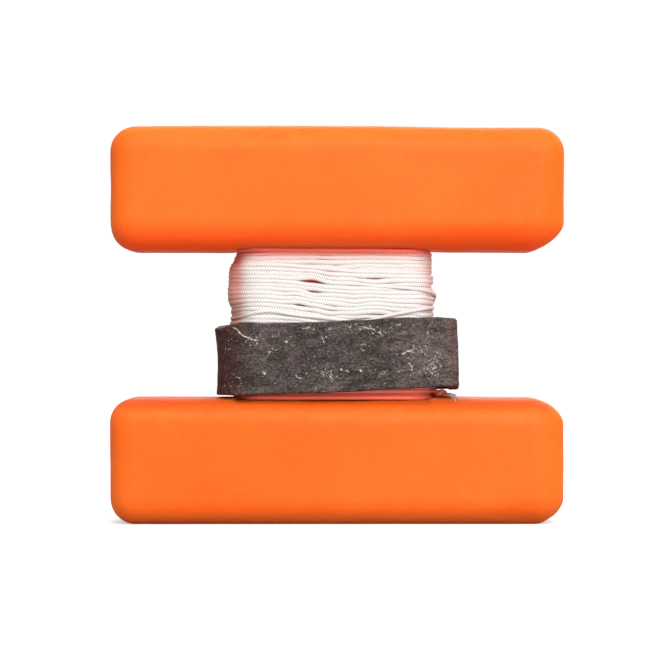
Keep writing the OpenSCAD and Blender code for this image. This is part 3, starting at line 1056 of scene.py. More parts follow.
def build_inner_turns():
    """The layer beneath: full detail where it shows beside the bars, plain in between."""
    count = 33
    layer = WoundLayer(count, INNER_SPAN, drop=0.0, depth=4.22, seed=71, inner=True)
    shown = [0, 1, *range(count - 6, count)]
    plain = {"sides": 8, "skip": 2, "relief": 0.03}
    for name, rows, detail, nodes in (
            ("line_inner_turns_edges", shown, {}, ["line_layer_4"]),
            ("line_inner_turns_middle", range(2, count - 6), plain,
             ["line_layer_1", "line_layer_2", "line_layer_3"])):
        cords = Cords()
        layer.add_turns(cords, rows, **detail)
        piece = cords.build(name, wound=True, inner=True)
        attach(piece, "float")
        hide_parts(*nodes)


# ------------------------------------------------------------------ line ends

LOOSE_STEP = 0.28     # sample step along loose line
KNOT_Z = STRIP_HEIGHT / 2 + 2.85        # height of the leader and its knot, in the strip's frame
EYE_Y = STRIP_BACK - STRIP_THICK / 2    # middle of the strip's back run


def resample(points, step, closed=False):
    points = np.array(points, float)
    if closed:
        points = np.concatenate([points[-1:], points, points[:2]])
    lengths = np.linalg.norm(np.diff(points, axis=0), axis=1)
    chord = np.concatenate([[0], np.cumsum(lengths)])
    start, stop = (chord[1], chord[-2]) if closed else (0, chord[-1])
    count = max(4, int((stop - start) / step))
    along = np.linspace(start, stop, count, endpoint=not closed)
    return np.stack([cubic_through(chord, column, along) for column in points.T], 1)


def strip_to_world(points):
    """From the strip's own frame, which is tilted about Y and raised."""
    x, y, z = np.moveaxis(np.asarray(points, float), -1, 0)
    cos, sin = math.cos(STRIP_TILT), math.sin(STRIP_TILT)
    return np.stack([x * cos - z * sin, y, STRIP_Z + x * sin + z * cos], -1)


def trefoil(count):
    """Three coordinates of a trefoil knot: two across it, and one through it."""
    q = np.linspace(0, 2 * np.pi, count, endpoint=False)
    return np.sin(q) + 2 * np.sin(2 * q), np.cos(q) - 2 * np.cos(2 * q), -np.sin(3 * q)


def fray(cords, tip, direction, count, length, seed, spread):
    """Loose fibres that fan out from a cut end and droop."""
    random = np.random.default_rng(seed)
    forward = np.array(direction, float)
    forward /= np.linalg.norm(forward)
    for k in range(count):
        off = random.normal(0, 1, 3)
        off -= forward * off.dot(forward)
        reach = length * random.uniform(0.55, 1.15)
        root = tip - forward * 0.5 + off * 0.16
        middle = tip + forward * reach * 0.5 + off * 0.30 * spread
        end = tip + forward * reach + off * 0.62 * spread + np.array([0, 0, -0.12]) * reach
        path = resample([root, (root + middle) / 2 + off * 0.03, middle, end], 0.25)
        cords.tube(path, free_frames(path), radius=random.uniform(0.07, 0.12), sides=6,
                   relief=0.0, start=k * 3.0, strand=100 + k,
                   taper=np.linspace(1.0, 0.35, len(path)), red=random.uniform(0.0, 0.07))


def build_hitch_turn():
    """The first turn, on the web under the layers."""
    ring = track_path(0.62, LOWER_TOP + 0.72)[::2]
    side, up = level_frames(np.concatenate([ring, ring[:2]]))
    cords = Cords()
    cords.tube(ring, (side[:len(ring)], up[:len(ring)]), sides=10, closed=True, red=0.7)
    piece = cords.build("line_hitch_turn")
    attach(piece, "float")
    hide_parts("line_anchor_hitch")


def build_tail():
    """Tail on the lower bar at the right, with a knot, and frayed towards the front."""
    z = LOWER_TOP + CORD_RADIUS + 0.1
    points = [(WEB_X + WEB_HALF_X + 3.0, -0.9, z), (27.0, -3.6, z), (28.2, -6.0, z + 0.1),
              (29.5, -8.2, z + 0.15), (30.6, -9.8, z + 0.1), (31.6, -11.2, z),
              (32.5, -12.6, z - 0.2)]
    path = resample(points, LOOSE_STEP)
    share = np.arange(len(path)) / len(path)
    # painted foam reflection and shade, fading towards the cut end
    red = np.interp(path[:, 1], [-13, -11.5, -9.5, -2], [0.03, 0.12, 0.80, 0.92])
    cords = Cords()
    cords.tube(path, free_frames(path), start=3.0, strand=70,
               taper=np.interp(share, [0, 0.9, 1], [1, 1, 0.85]), red=red.repeat(CORD_SIDES))
    first, second, through = trefoil(90)
    knot = np.column_stack([0.55 * first, 0.50 * second, 0.45 * through])
    knot += np.array([28.9, -7.4, z + 0.55])
    cords.tube(knot, free_frames(knot, closed=True), radius=0.56, closed=True, strand=71,
               red=0.93)
    fray(cords, np.array(points[-1]), np.array(points[-1]) - np.array(points[-3]), count=26,
         length=1.7, seed=7, spread=1.15)
    piece = cords.build("line_tail_frayed")
    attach(piece, "float")
    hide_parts("line_anchor_tail")


def build_leader():
    """Leader along the back, from the wound line to the knot above the strip."""
    points = [(13.0, 12.55, -0.2), (9.0, 13.1, -0.1), (5.0, 13.72, 0.0), (0.0, 13.76, 0.0),
              (-5.0, 13.76, 0.05), (-8.6, 13.85, 0.1), (-11.5, 14.5, 0.15),
              (-14.5, 15.4, 0.1), (-17.4, 15.9, 0.0), (-19.6, 16.0, 0.0)]
    points = np.array(points) + np.array([0, 0, KNOT_Z])
    path = resample(strip_to_world(points), LOOSE_STEP)
    cords = Cords()
    cords.tube(path, level_frames(path), start=11.0, strand=80, red=0.06)
    piece = cords.build("leader_line")
    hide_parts("line_leader")
    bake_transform(piece)


def build_eye_loop():
    """Loop through the place of the hole and over the strip's top edge."""
    clearance = 0.06 + CORD_RADIUS
    inside = STRIP_BACK - STRIP_THICK - clearance
    outside = STRIP_BACK + clearance
    top = STRIP_HEIGHT / 2 + 0.68
    points = [(EYE_X, EYE_Y, top + 0.1), (EYE_X, inside + 0.8, top),
              (EYE_X, inside + 0.12, top - 0.75), (EYE_X, inside, 8.2),
              (EYE_X - 0.1, inside, 6.4), (EYE_X, inside + 0.5, 5.25),
              (EYE_X, EYE_Y - 0.4, EYE_Z - 0.05), (EYE_X, EYE_Y + 0.6, EYE_Z - 0.05),
              (EYE_X, outside - 0.5, 5.25), (EYE_X + 0.1, outside, 6.4),
              (EYE_X + 0.05, outside, 8.2), (EYE_X, outside - 0.12, top - 0.75),
              (EYE_X, outside - 0.8, top)]
    path = strip_to_world(resample(points, LOOSE_STEP, closed=True))
    cords = Cords()
    cords.tube(path, free_frames(path, closed=True), radius=0.57, closed=True, strand=81,
               red=0.04)
    piece = cords.build("eye_loop_line")
    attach(piece, "strap_tied_end")
    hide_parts("weight_eye_loop")


def build_eye_knot():
    """The knot that closes the loop, and its cut end."""
    first, second, through = trefoil(110)
    knot = np.column_stack([0.444 * first, 0.5291 * through, 0.3145 * second])
    knot = strip_to_world(knot + np.array([EYE_X, EYE_Y - 0.1, KNOT_Z + 0.05]))
    cords = Cords()
    cords.tube(knot, free_frames(knot, closed=True), radius=0.52, closed=True, strand=82,
               red=0.04)
    offsets = [(0.2, 0.2, 0.2), (-1.3, 0.5, 0.3), (-2.8, 0.9, -0.1), (-4.3, 1.4, -0.9)]
    path = resample(strip_to_world(np.array(offsets) + np.array([EYE_X, EYE_Y, KNOT_Z])),
                    LOOSE_STEP)
    cords.tube(path, free_frames(path), radius=0.55, start=2.0, strand=83, red=0.04)
    fray(cords, path[-1], path[-1] - path[-4], count=12, length=1.3, seed=19, spread=0.6)
    piece = cords.build("eye_knot_line")
    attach(piece, "strap_tied_end")
    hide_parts("weight_eye_knot")


# ------------------------------------------------------------------ lead strip: its grid

STRIP_STEP = 0.27
HALF_THICK, HALF_HEIGHT = STRIP_THICK / 2, STRIP_HEIGHT / 2


def straight(start, stop, outward):
    start, stop = np.array(start, float), np.array(stop, float)
    count = max(2, int(np.linalg.norm(stop - start) / STRIP_STEP))
    points = start + (stop - start) * np.arange(count)[:, None] / count
    return points, np.tile(np.array(outward, float), (count, 1))


def bend(x, y, radius, quarter):
    """Quarter turn about a centre, starting at this many quarters from +X."""
    count = max(8, int(math.pi / 2 * (radius + HALF_THICK) / STRIP_STEP))
    angle = math.pi / 2 * (quarter + np.arange(count) / count)
    outward = np.stack([np.cos(angle), np.sin(angle)], 1)
    return np.array([x, y]) + outward * radius, outward


def strip_plan():
    """Centre line in plan, from the tied end round by the left, the front and the right.

    Returns its points, outward directions, and the index at which each part starts.
    """
    side_x, front, back = STRIP_HALF_X - HALF_THICK, HALF_THICK - STRIP_FRONT, EYE_Y
    back_left, front_left, right = 3.5, 5.5, 1.55       # bend radii
    parts = {
        "start": straight((TIED_X, back), (-side_x + back_left, back), (0, 1)),
        "back_left": bend(-side_x + back_left, back - back_left, back_left, 1),
        "left": straight((-side_x, back - back_left), (-side_x, front + front_left), (-1, 0)),
        "front_left": bend(-side_x + front_left, front + front_left, front_left, 2),
        "front": straight((-side_x + front_left, front), (0, front), (0, -1)),
        "front_mid": straight((0, front), (side_x - right, front), (0, -1)),
        "front_right": bend(side_x - right, front + right, right, 3),
        "right": straight((side_x, front + right), (side_x, 0.5), (1, 0)),
        "right_mid": straight((side_x, 0.5), (side_x, back - right), (1, 0)),
        "back_right": bend(side_x - right, back - right, right, 0),
        "back": straight((side_x - right, back), (FLAP_X, back), (0, 1)),
        "end": (np.array([[FLAP_X, back]]), np.array([[0.0, 1.0]]))}
    index, used = {}, 0
    for name, (points, _) in parts.items():
        index[name] = used
        used += len(points)
    line, outward = [np.concatenate(column) for column in zip(*parts.values())]
    return line, outward, index


def strip_section():
    """Closed outline of the section, as (outward, height), with softened edges."""
    radius = 0.55
    out, high = HALF_THICK - radius, HALF_HEIGHT - radius
    tall = max(6, int(2 * high / STRIP_STEP))
    wide = max(2, int(2 * out / STRIP_STEP))
    # straight side from, straight side to, count, centre of the corner after it
    sides = [((HALF_THICK, -high), (HALF_THICK, high), tall, (out, high)),
             ((out, HALF_HEIGHT), (-out, HALF_HEIGHT), wide, (-out, high)),
             ((-HALF_THICK, high), (-HALF_THICK, -high), tall, (-out, -high)),
             ((-out, -HALF_HEIGHT), (out, -HALF_HEIGHT), wide, (out, -high))]
    points = []
    for quarter, (start, stop, count, centre) in enumerate(sides):
        start, stop = np.array(start), np.array(stop)
        points += [start + (stop - start) * k / count for k in range(count)]
        for k in range(5):
            angle = math.pi / 2 * (quarter + k / 5)
            points.append(np.array(centre) + radius * np.array([math.cos(angle),
                                                                math.sin(angle)]))
    return np.array(points)


class Strip:
    """The strip's grid: rows along its length, columns round its section."""

    def __init__(self):
        self.line, self.outward, self.index = strip_plan()
        self.tangent = np.stack([-self.outward[:, 1], self.outward[:, 0]], 1)
        section = strip_section()
        lengths = np.linalg.norm(np.diff(self.line, axis=0), axis=1)
        self.distance = np.concatenate([[0], np.cumsum(lengths)])
        self.at = {name: self.distance[i] for name, i in self.index.items()}
        # along the strip, height and outward, at every vertex
        self.place = grid(self.distance[:, None], section[:, 1], section[:, 0])
        self.along, self.height, self.out = np.moveaxis(self.place, -1, 0)


# ------------------------------------------------------------------ lead strip: its marks

# bright scratches on the front: points (X, height), width, strength
FRONT_SCRATCHES = [
    ([(-28.3, 9.0), (-27.4, 8.2), (-26.7, 7.1), (-25.6, 6.2), (-23.8, 5.5), (-22.1, 5.1)],
     0.22, 0.85),
    ([(-17.9, 6.0), (-17.0, 6.3), (-15.9, 6.9)], 0.26, 0.45),
    ([(-11.7, -4.9), (-10.8, -5.6), (-9.9, -5.8)], 0.22, 0.8),
    ([(-6.8, -9.2), (-5.6, -8.3), (-4.2, -8.0)], 0.26, 0.5),
    ([(-4.2, 6.2), (-3.8, 5.2), (-3.5, 3.9)], 0.22, 0.65),
    ([(7.2, 8.1), (8.1, 7.9), (10.5, 7.3)], 0.22, 0.85),
    ([(18.1, 0.0), (19.0, 0.4)], 0.25, 1.0),
    ([(19.6, 0.7), (20.8, 0.9)], 0.25, 1.0),
    ([(19.9, -2.7), (20.3, -3.2), (20.8, -3.9)], 0.24, 0.8),
    ([(11.2, -5.5), (12.4, -5.3), (13.6, -4.7)], 0.24, 0.6),
    ([(16.9, -5.1), (19.0, -4.6), (21.0, -4.6)], 0.25, 0.6),
    ([(11.2, -1.7), (13.5, -1.9), (16.1, -1.9)], 0.20, 0.35),
    ([(-9.2, 8.2), (-8.3, 8.4), (-7.6, 8.6)], 0.24, 0.8),
    ([(-2.0, 7.7), (-1.5, 8.5)], 0.24, 0.8)]
# short bright spots: X, height
FRONT_SPOTS = [(-14.0, 4.6), (6.4, -4.2), (2.8, -4.2), (1.0, -3.7), (-20.3, -4.1), (12.1, 6.1)]
# parts of rings: X, height, radius, first and last angle, strength
FRONT_RINGS = [
    (7.5, 2.4, 0.9, 0.9, 5.2, 0.65), (-28.3, -6.2, 1.55, -1.2, 1.3, 0.45),
    (-28.3, -6.2, 1.55, 2.3, 4.2, 0.35), (26.3, -4.6, 1.35, 0.3, 3.3, 0.6),
    (26.3, -4.6, 1.35, 3.9, 5.6, 0.5), (28.6, -1.2, 1.3, 1.2, 4.4, 0.45),
    (15.5, 5.4, 1.2, 0.2, 2.6, 0.4), (-1.2, -5.0, 1.1, 3.0, 5.9, 0.6)]
# clusters of flecks: X, height, X radius, height radius, count, strength
FRONT_CLUSTERS = [
    (-18.4, 2.2, 1.2, 1.5, 16, 0.8), (-3.4, -4.6, 3.0, 1.3, 44, 0.85),
    (12.5, 5.8, 1.6, 1.0, 28, 0.85), (23.2, 0.9, 2.4, 1.3, 40, 0.8),
    (28.3, -1.1, 1.8, 1.4, 30, 0.6), (26.1, -5.0, 2.3, 2.2, 84, 0.85),
    (22.5, -5.4, 1.1, 0.6, 10, 0.7), (3.6, 8.4, 1.5, 0.6, 12, 0.8),
    (17.5, 8.0, 1.2, 0.4, 10, 0.85), (9.0, 7.7, 2.6, 0.7, 20, 0.85),
    (24.5, 8.4, 2.5, 0.4, 8, 0.7), (24.5, -1.0, 6.0, 7.0, 150, 0.42),
    (-23.0, 4.6, 2.5, 1.6, 18, 0.5), (-20.3, -4.3, 1.8, 1.4, 22, 0.6),
    (-28.3, -6.2, 2.0, 1.8, 16, 0.45), (-28.5, 4.0, 1.8, 3.2, 22, 0.45),
    (-8.0, 1.0, 7.0, 5.0, 60, 0.38), (8.0, -1.0, 7.0, 5.0, 60, 0.38),
    (-14.0, 5.0, 5.0, 3.0, 26, 0.4), (0.0, 8.2, 14.0, 1.2, 30, 0.5),
    (-10.0, -6.0, 7.0, 3.0, 36, 0.4)]
# dark pits: X, height, radius
FRONT_PITS = [(-28.1, -1.5, 0.95), (-27.2, -1.0, 0.6), (-17.0, -5.6, 0.55),
              (-14.9, -8.9, 0.7), (14.4, 3.6, 0.5)]
# dark creases: points (X, height), width, strength, dent
FRONT_CREASES = [([(-26.3, -0.5), (-23.6, 0.3), (-21.0, 0.7)], 0.28, 0.6, 0.12),
                 ([(13.8, 3.4), (15.0, 3.9)], 0.22, 0.7, 0.12),
                 ([(-16.3, 5.0), (-14.6, 6.3), (-13.0, 6.9)], 0.30, 0.5, 0.08)]


class StripMarks:
    """Fields over the strip's grid: bare metal, dark marks, fleck thickness and dents."""

    def __init__(self, strip):
        self.strip = strip
        self.outer_face = strip.out > 0.9
        self.bare, self.dark, self.flecks, self.dents = [
            np.zeros_like(strip.along) for _ in range(4)]
        self.random = np.random.default_rng(5)
        # the random draws follow this order
        self.mark_front()
        self.mark_other_faces()
        self.mark_dark()

    def stroke(self, points, width, strength, field, dent, face=None):
        """Draw a line of (along, height) points into a field, and dent the face along it."""
        face = self.outer_face if face is None else face
        points = np.array(points, float)
        distance = self.strip.distance
        near = ((distance >= points[:, 0].min() - 4 * width)
                & (distance <= points[:, 0].max() + 4 * width))
        along, height = self.strip.along[near], self.strip.height[near]
        nearest = np.full(along.shape, 1e9)
        for (x0, z0), (x1, z1) in zip(points[:-1], points[1:]):
            dx, dz = x1 - x0, z1 - z0
            share = ((along - x0) * dx + (height - z0) * dz) / max(dx * dx + dz * dz, 1e-9)
            share = np.clip(share, 0, 1)
            apart = (along - x0 - share * dx) ** 2 + (height - z0 - share * dz) ** 2
            nearest = np.minimum(nearest, apart)
        weight = np.exp(-nearest / (width * width)) * face[near]
        field[near] = np.maximum(field[near], weight * strength)
        self.dents[near] -= dent * weight

    def front_stroke(self, points, width, strength, field, dent):
        middle = self.strip.at["front_mid"]
        self.stroke([(middle + x, z) for x, z in points], width, strength, field, dent)

    def cluster(self, x, z, radius_x, radius_z, count, strength):
        random = self.random
        drawn = count * 0.6
        share = min(0.75, 0.75 * drawn / (2.26 * radius_x * radius_z) / 3.3)
        apart = (((self.strip.along - x) / radius_x) ** 2
                 + ((self.strip.height - z) / radius_z) ** 2)
        self.flecks += share * strength / 0.85 * np.exp(-1.39 * apart) * self.outer_face
        for _ in range(int(drawn)):
            fleck_x = x + random.normal(0, radius_x * 0.6)
            fleck_z = z + random.normal(0, radius_z * 0.6)
            if abs(fleck_z) < 9.7:
                angle = random.normal(0.15, 0.7)
                half = random.uniform(0.02, 0.30)
                dx, dz = half * math.cos(angle), half * math.sin(angle)
                self.stroke([(fleck_x - dx, fleck_z - dz), (fleck_x + dx, fleck_z + dz)],
                            width=random.uniform(0.13, 0.18),
                            strength=strength * random.uniform(0.45, 1.0),
                            field=self.bare, dent=0.02)

    def mark_front(self):
        for points, width, strength in FRONT_SCRATCHES:
            self.front_stroke(points, width, strength, self.bare, dent=0.06)
        for x, z in FRONT_SPOTS:
            self.front_stroke([(x - 0.15, z + 0.1), (x + 0.2, z - 0.1)], width=0.30,
                              strength=1.0, field=self.bare, dent=0.03)
        for x, z, radius, first, last, strength in FRONT_RINGS:
            points = [(x + radius * math.cos(angle), z + radius * math.sin(angle))
                      for angle in np.linspace(first, last, 9)]
            self.front_stroke(points, 0.19, strength, self.bare, dent=0.04)
        for x, *rest in FRONT_CLUSTERS:
            self.cluster(self.strip.at["front_mid"] + x, *rest)

    def mark_other_faces(self):
        """Random clusters and scratches on the left, right and back."""
        random, at = self.random, self.strip.at
        for _ in range(34):
            x = random.choice([random.uniform(at["start"], at["front_left"]),
                               random.uniform(at["right"], at["end"])])
            self.cluster(x, random.uniform(-8, 8), random.uniform(1, 4),
                         random.uniform(0.8, 3), int(random.integers(6, 34)),
                         random.uniform(0.35, 0.85))
        spans = (("start", "back_left"), ("left", "front_left"), ("right", "back_right"),
                 ("back", "end"))
        for _ in range(12):
            x = random.choice([random.uniform(at[first], at[last]) for first, last in spans])
            z = random.uniform(-8, 8)
            angle = random.normal(0.2, 0.5)
            half = random.uniform(0.6, 3.2)
            middle = (x + random.normal(0, 0.25), z + random.normal(0, 0.25))
            dx, dz = half * math.cos(angle), half * math.sin(angle)
            self.stroke([(x - dx, z - dz), middle, (x + dx, z + dz)],
                        width=random.uniform(0.16, 0.24), strength=random.uniform(0.4, 0.8),
                        field=self.bare, dent=0.07)

    def mark_dark(self):
        random, length = self.random, self.strip.distance[-1]
        for x, z, radius in FRONT_PITS:
            self.front_stroke([(x - radius * 0.3, z), (x + radius * 0.3, z)], radius,
                              strength=0.85, field=self.dark, dent=0.16)
        for points, width, strength, dent in FRONT_CREASES:
            self.front_stroke(points, width, strength, self.dark, dent)
        for _ in range(110):                    # small pits all along
            x, z = random.uniform(0, length), random.uniform(-9, 9)
            radius = random.uniform(0.22, 0.55)
            end = (x + random.normal(0, 0.3), z + random.normal(0, 0.2))
            self.stroke([(x, z), end], radius, strength=random.uniform(0.3, 0.8),
                        field=self.dark, dent=random.uniform(0.05, 0.13))
        for _ in range(70):                     # blows on the inner face
            x, z = random.uniform(0, length), random.uniform(-9, 9)
            self.stroke([(x, z), (x + random.normal(0, 0.3), z)],
                        width=random.uniform(0.4, 0.9), strength=0.5, field=self.dark,
                        dent=random.uniform(0.04, 0.10), face=self.strip.out < -0.9)
        for _ in range(22):                     # long, shallow drag marks
            x, z = random.uniform(0, length), random.uniform(-9, 9)
            angle = random.normal(0.0, 0.4)
            half = random.uniform(1.5, 5.0)
            dx, dz = half * math.cos(angle), half * math.sin(angle)
            self.stroke([(x - dx, z - dz), (x, z + random.normal(0, 0.2)), (x + dx, z + dz)],
                        width=0.30, strength=random.uniform(0.2, 0.45), field=self.dark,
                        dent=0.07)


# ------------------------------------------------------------------ lead strip: its shape


def left_band(strip):
    at = strip.at
    return band(strip.along, (at["left"] - 3, at["left"] + 2),
                (at["front_left"] - 1.0, at["front"] + 1.0))


def uneven_height(strip):
    """Heights, with the top and bottom edges as cut and knocked by hand."""
    at, along, height, out = strip.at, strip.along, strip.height, strip.out
    middle = at["front_mid"]
    left_bend = (at["front_left"] + at["front"]) / 2
    right_bend = (at["front_right"] + at["right"]) / 2
    # distance along, shift of the top edge, shift of the bottom edge
    edges = [
        (at["start"], -0.2, 0.1), (at["back_left"], 0.0, 0.1), (at["left"], -0.5, 0.2),
        (at["front_left"], -0.9, 0.28), (left_bend, -1.05, 0.28),
        (middle - 28.5, -0.10, 0.08), (middle - 18, -0.05, 0.08), (middle - 8.5, -0.15, 0.00),
        (middle + 6.8, -0.05, 0.12), (middle + 14, 0.12, 0.38), (middle + 24, 0.10, 0.55),
        (at["front_right"], -0.30, 0.55), (right_bend + 0.6, -0.70, 0.45),
        (at["right"] + 3, -0.6, 0.00), (at["back_right"], -0.3, -0.55),
        (at["back"] + 2, -0.2, -0.55), (at["end"], 0.1, -0.3)]
    stations, top_shift, bottom_shift = zip(*edges)
    top = (cubic_through(stations, top_shift, along)
           + 0.10 * value_noise(grid(along, 0, 3), 4.0, 3)
           + 0.05 * value_noise(grid(along, out, 0), 1.4, 5))
    bottom = (cubic_through(stations, bottom_shift, along)
              + 0.10 * value_noise(grid(along, 0, 9), 4.5, 8)
              + 0.05 * value_noise(grid(along, out, 4), 1.4, 6))
    return (height + top * smooth(height, -2, HALF_HEIGHT)
            + bottom * smooth(-height, -2, HALF_HEIGHT))


def strip_surface(strip, dents, height):
    """World points of the grid, after hammering, bowing and shearing."""
    at, along, flat_height, out = strip.at, strip.along, strip.height, strip.out
    outer = smooth(out, -0.2, 1.0)
    inner = smooth(-out, -0.2, 1.0)
    face = grid(along, flat_height, out * 0.5)
    relief = (0.16 * rich_noise(face, 9.0, 100) + 0.075 * rich_noise(face, 2.6, 101)
              + 0.035 * rich_noise(face, 1.0, 102))
    moved = (out + outer * (relief + dents - 0.10)
             + inner * (-0.25 * relief + dents * 0.5 + 0.05))
    # the left side is drawn in at mid height, the front is wavy, and the right is thinned
    left = left_band(strip)
    bow = -0.62 * left * (1 - np.clip((flat_height - 0.5) / 9.5, -1, 1) ** 2) - 0.05 * left
    front = band(along, (at["front"], at["front"] + 6),
                 (at["front_right"] - 7, at["front_right"] - 1))
    wave = 0.16 * value_noise(grid(along, flat_height * 0.4, 0), 17.0, 77)
    right = band(along, (at["front_right"], at["right"]), (at["back_right"], at["back"]))
    moved = moved + bow * smooth(out, -0.8, 1.2) + wave * front - 0.25 * right * outer
    # the ends are sheared a little out of square
    start_shear = 0.35 * flat_height / 10 * np.exp(-((along - at["start"]) / 3.0) ** 2)
    end_shear = ((-0.5 * flat_height / 10
                  + 0.25 * value_noise(grid(flat_height, 0, 0), 4.0, 2))
                 * np.exp(-((along - at["end"]) / 3.0) ** 2))
    plan = (strip.line[:, None] + strip.outward[:, None] * moved[..., None]
            + strip.tangent[:, None] * (start_shear + end_shear)[..., None])
    return strip_to_world(grid(plan[..., 0], plan[..., 1], height))


def strip_fields(strip, marks, height):
    """Attributes for the material: name, values on the grid, value on the end caps."""
    at, along = strip.at, strip.along
    middle = at["front_mid"]
    # partly oxide colour, partly painted shade where the bends turn from the light and along the
    # bottom edge
    brown_and_bend_shade = (0.95 * left_band(strip)
             + 0.70 * band(along, (at["front_left"], at["front_left"] + 3),
                           (middle - 28.5, middle - 22.5))
             + 0.62 * np.exp(-((along - middle - 31.6) / 0.55) ** 2)
             + 0.32 * band(along, (at["right"], at["right"] + 3), (at["back"], at["back"] + 6))
             + 0.35 * smooth(-height, 8.3, 10.2))
    brown_and_bend_shade = np.clip(brown_and_bend_shade, 0, 1) * smooth(strip.out, -1.6, 0.5)
    edge = smooth(np.abs(strip.height), HALF_HEIGHT - 0.9, HALF_HEIGHT - 0.1)
    # painted light and shade across the front, darker at the left and brightest at the right
    # bend: distance from its middle, then shift
    front = band(along, (at["front_left"] - 2, at["front"]),
                 (at["front_right"], at["right"] + 2))
    light = np.interp(np.clip(along - middle, -34, 34),
                      [-34, -31, -26, -22, -17, 5, 14, 20, 28, 31, 32.5, 34],
                      [-0.16, -0.12, -0.07, 0.12, 0.0, 0.0, -0.02, 0.08, 0.16, 0.34, 0.42, 0.30])
    light = light * front + 0.05 * (1 - front)
    return [("strip_brown_and_shade", brown_and_bend_shade, 0.0), ("strip_edge", edge, 0.3),
            ("strip_bare", marks.bare, 0.0), ("strip_fleck", marks.flecks, 0.0),
            ("strip_pit", marks.dark, 0.0), ("strip_painted_light", light, 0.0)]


def whole_normals(surface):
    """Outward normals of the whole strip, and whether its faces need turning."""
    rows, columns = surface.shape[:2]
    rings = np.arange(rows * columns).reshape(rows, columns)
    mesh = build_mesh("strip_tmp", surface.reshape(-1, 3), [bridge(rings)])
    normals = vertex_normals(mesh).reshape(surface.shape)
    bpy.data.meshes.remove(mesh)
    row, column = rows // 2, columns // 12      # a vertex on the outer face
    outward = surface[row, column] - surface[row].mean(0)
    flip = float(np.dot(normals[row, column], outward)) < 0
    return normals * (-1 if flip else 1), flip


def cap_rings(strip, surface, row, sign, free):
    """Rings that close an end, with their strip places. A free end stands out, roughly."""
    outline = surface[row]
    offset = outline - outline.mean(0)
    across = np.array([*strip.outward[row], 0])
    through = offset[:, 0] * across[0] + offset[:, 1] * across[1]
    forward = strip_to_world([*strip.tangent[row], 0]) - strip_to_world([0, 0, 0])
    # share of the thickness, share of the height, reach
    for thickness, tall, reach in ((0.93, 0.97, 0.22), (0.6, 0.94, 0.30)):
        ring = outline - np.outer(through * (1 - thickness), across)
        ring[:, 2] -= offset[:, 2] * (1 - tall)
        if free:
            rough = 0.08 * value_noise(outline, 1.2, 55)
            ring = ring + forward * sign * (reach + rough)[:, None]
        yield ring, strip.place[row] + np.array([sign * reach, 0, 0])


def strip_piece(name, strip, surface, first, last, fields, normals, flip):
    """The length of strip between two rows, closed at both ends."""
    rows = slice(first, last + 1)
    count, columns = last + 1 - first, surface.shape[1]
    own_count = count * columns
    rings = np.arange(own_count).reshape(count, columns)
    points = [surface[rows].reshape(-1, 3)]
    places = [strip.place[rows].reshape(-1, 3)]
    faces, ends, used = [bridge(rings)], [], own_count
    for row, ring, sign in ((first, rings[0], -1), (last, rings[-1], 1)):
        free = row in (0, len(surface) - 1)
        for ring_points, ring_places in cap_rings(strip, surface, row, sign, free):
            new = used + np.arange(columns)
            used += columns
            points.append(ring_points)
            places.append(ring_places)
            quads = np.stack([ring, np.roll(ring, -1), np.roll(new, -1), new], -1)
            faces.append(quads if sign > 0 else quads[:, [1, 0, 3, 2]])
            ring = new
        ends.append((ring if sign > 0 else ring[::-1])[None])
    faces += ends
    if flip:
        faces = [group[:, ::-1] for group in faces]
    mesh = build_mesh(name, np.concatenate(points), faces)
    set_vector(mesh, "strip_co", np.concatenate(places))
    for key, values, cap_value in fields:
        caps = np.full(used - own_count, cap_value)
        set_float(mesh, key, np.concatenate([values[rows].ravel(), caps]))
    # normals of the whole strip, so that its lengths meet without a seam
    vertex = vertex_normals(mesh)
    vertex[:own_count] = normals[rows].reshape(-1, 3)
    mesh.normals_split_custom_set_from_vertices([tuple(normal) for normal in vertex.tolist()])
    return add_object(name, mesh, LEAD)


def build_strip():
    strip = Strip()
    marks = StripMarks(strip)
    height = uneven_height(strip)
    surface = strip_surface(strip, marks.dents, height)
    fields = strip_fields(strip, marks, height)
    normals, flip = whole_normals(surface)
    index = strip.index
    tied, front, free = [
        strip_piece(name, strip, surface, index[first], index[last], fields, normals, flip)
        for name, first, last in (("lead_strip_tied_end", "start", "front_mid"),
                                  ("lead_strip_front", "front_mid", "right_mid"),
                                  ("lead_strip_free_end", "right_mid", "end"))]
    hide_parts("weight_tied_end")
    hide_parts("weight_front_plate")
    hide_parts("weight_side_plate", "weight_end_flap")
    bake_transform(tied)
    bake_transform(front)
    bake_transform(free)


# ------------------------------------------------------------------ floor, light, camera
# places and sizes are in metres from here on, but for the floor's corners


def build_floor():
    """A pale floor that glows evenly to the camera and is grey to other rays."""
    half = 4000
    corners = [(-half, -half, 0), (half, -half, 0), (half, half, 0), (-half, half, 0)]
    mesh = build_mesh("floor", corners, [np.array([[0, 1, 2, 3]])], smooth_faces=False)
    material = bpy.data.materials.new("floor_pale")
    material.use_nodes = True
    shader = Shader(material.node_tree)
    seen = shader.node("ShaderNodeBsdfDiffuse", {"Color": (0.84, 0.85, 0.87, 1)})
    glow = shader.node("ShaderNodeEmission", {"Color": (1, 1, 1, 1), "Strength": 0.42})
    both = shader.node("ShaderNodeAddShader", {0: seen.outputs[0], 1: glow.outputs[0]})
    other = shader.node("ShaderNodeBsdfDiffuse", {"Color": (0.42, 0.42, 0.42, 1)})
    path = shader.node("ShaderNodeLightPath")
    mix = shader.node("ShaderNodeMixShader", {
        0: path.outputs["Is Camera Ray"], 1: other.outputs[0], 2: both.outputs[0]})
    shader.fill(shader.output, {0: mix.outputs[0]})
    add_object("floor", mesh, material)


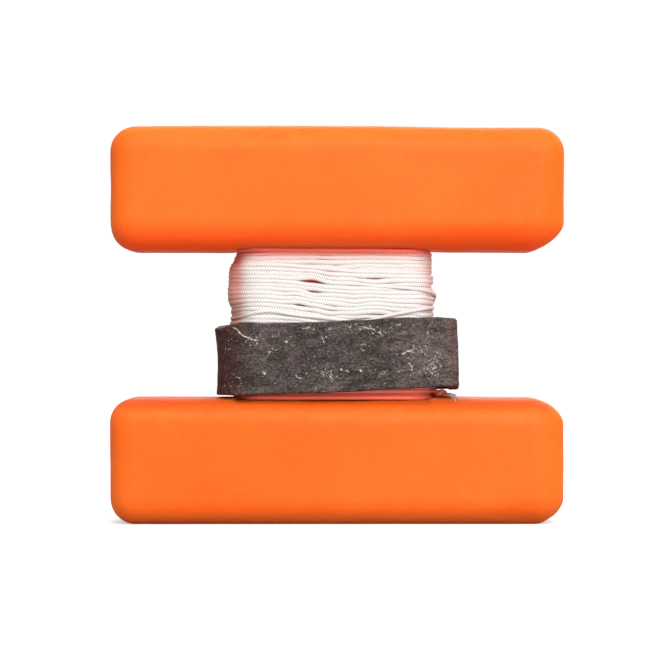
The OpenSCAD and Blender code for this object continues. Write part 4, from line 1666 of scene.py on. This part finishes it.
def build_world():
    """White to the camera; soft light that grows brighter upwards for everything else."""
    world = bpy.data.worlds.new("studio")
    bpy.context.scene.world = world
    world.use_nodes = True
    shader = Shader(world.node_tree, "ShaderNodeOutputWorld")
    up = shader.split(shader.place("Generated"))[2]
    strength = shader.ramp(up, (-0.1, 0.9), to=(0.36, 0.86), kind="LINEAR")
    soft = shader.node("ShaderNodeBackground",
                       {"Color": (1.0, 0.99, 0.975, 1), "Strength": strength})
    seen = shader.node("ShaderNodeBackground", {"Color": (1, 1, 1, 1), "Strength": 1.05})
    path = shader.node("ShaderNodeLightPath")
    mix = shader.node("ShaderNodeMixShader", {
        0: path.outputs["Is Camera Ray"], 1: soft.outputs[0], 2: seen.outputs[0]})
    shader.fill(shader.output, {0: mix.outputs[0]})


def add_area_light(name, place, target, size, power, colour):
    light = bpy.data.lights.new(name, "AREA")
    light.shape = "RECTANGLE"
    light.size, light.size_y = size
    light.energy = power
    light.color = colour
    obj = bpy.data.objects.new(name, light)
    bpy.context.scene.collection.objects.link(obj)
    obj.location = place
    aim = Vector(target) - Vector(place)
    obj.rotation_euler = aim.to_track_quat("-Z", "Y").to_euler()


def build_lights():
    add_area_light("key", place=(0.13, -0.70, 0.60), target=(0, 0, 0.06), size=(0.50, 0.36),
                   power=6.3, colour=(1.0, 0.985, 0.96))
    add_area_light("fill", place=(0.42, -0.78, 0.20), target=(0, 0, 0.05), size=(0.5, 0.5),
                   power=3.6, colour=(1.0, 1.0, 1.0))
    add_area_light("back_fill", place=(0.2, 0.8, 0.5), target=(0, 0, 0.05), size=(0.7, 0.5),
                   power=3.6, colour=(1.0, 0.99, 0.98))


def set_colour_view():
    view = bpy.context.scene.view_settings
    view.view_transform = "Standard"
    view.look = "None"
    view.exposure = 0.0
    view.gamma = 1.0


def build_camera():
    """Level camera in front of the float."""
    distance = 0.90
    view_width = 0.1886943              # width in view at the float's middle plane
    camera = bpy.data.cameras.new("camera")
    obj = bpy.data.objects.new("camera", camera)
    bpy.context.scene.collection.objects.link(obj)
    camera.sensor_width = 36.0
    camera.lens = camera.sensor_width * distance / view_width
    camera.clip_start, camera.clip_end = 0.05, 50
    obj.location = (-0.00099015, -distance, 0.0531852)
    obj.rotation_euler = (math.radians(90), 0, 0)
    bpy.context.scene.camera = obj


build_float()
build_outer_turns()
build_inner_turns()
build_hitch_turn()
build_tail()
build_leader()
build_eye_loop()
build_eye_knot()
build_strip()
build_floor()
build_world()
build_lights()
set_colour_view()
build_camera()
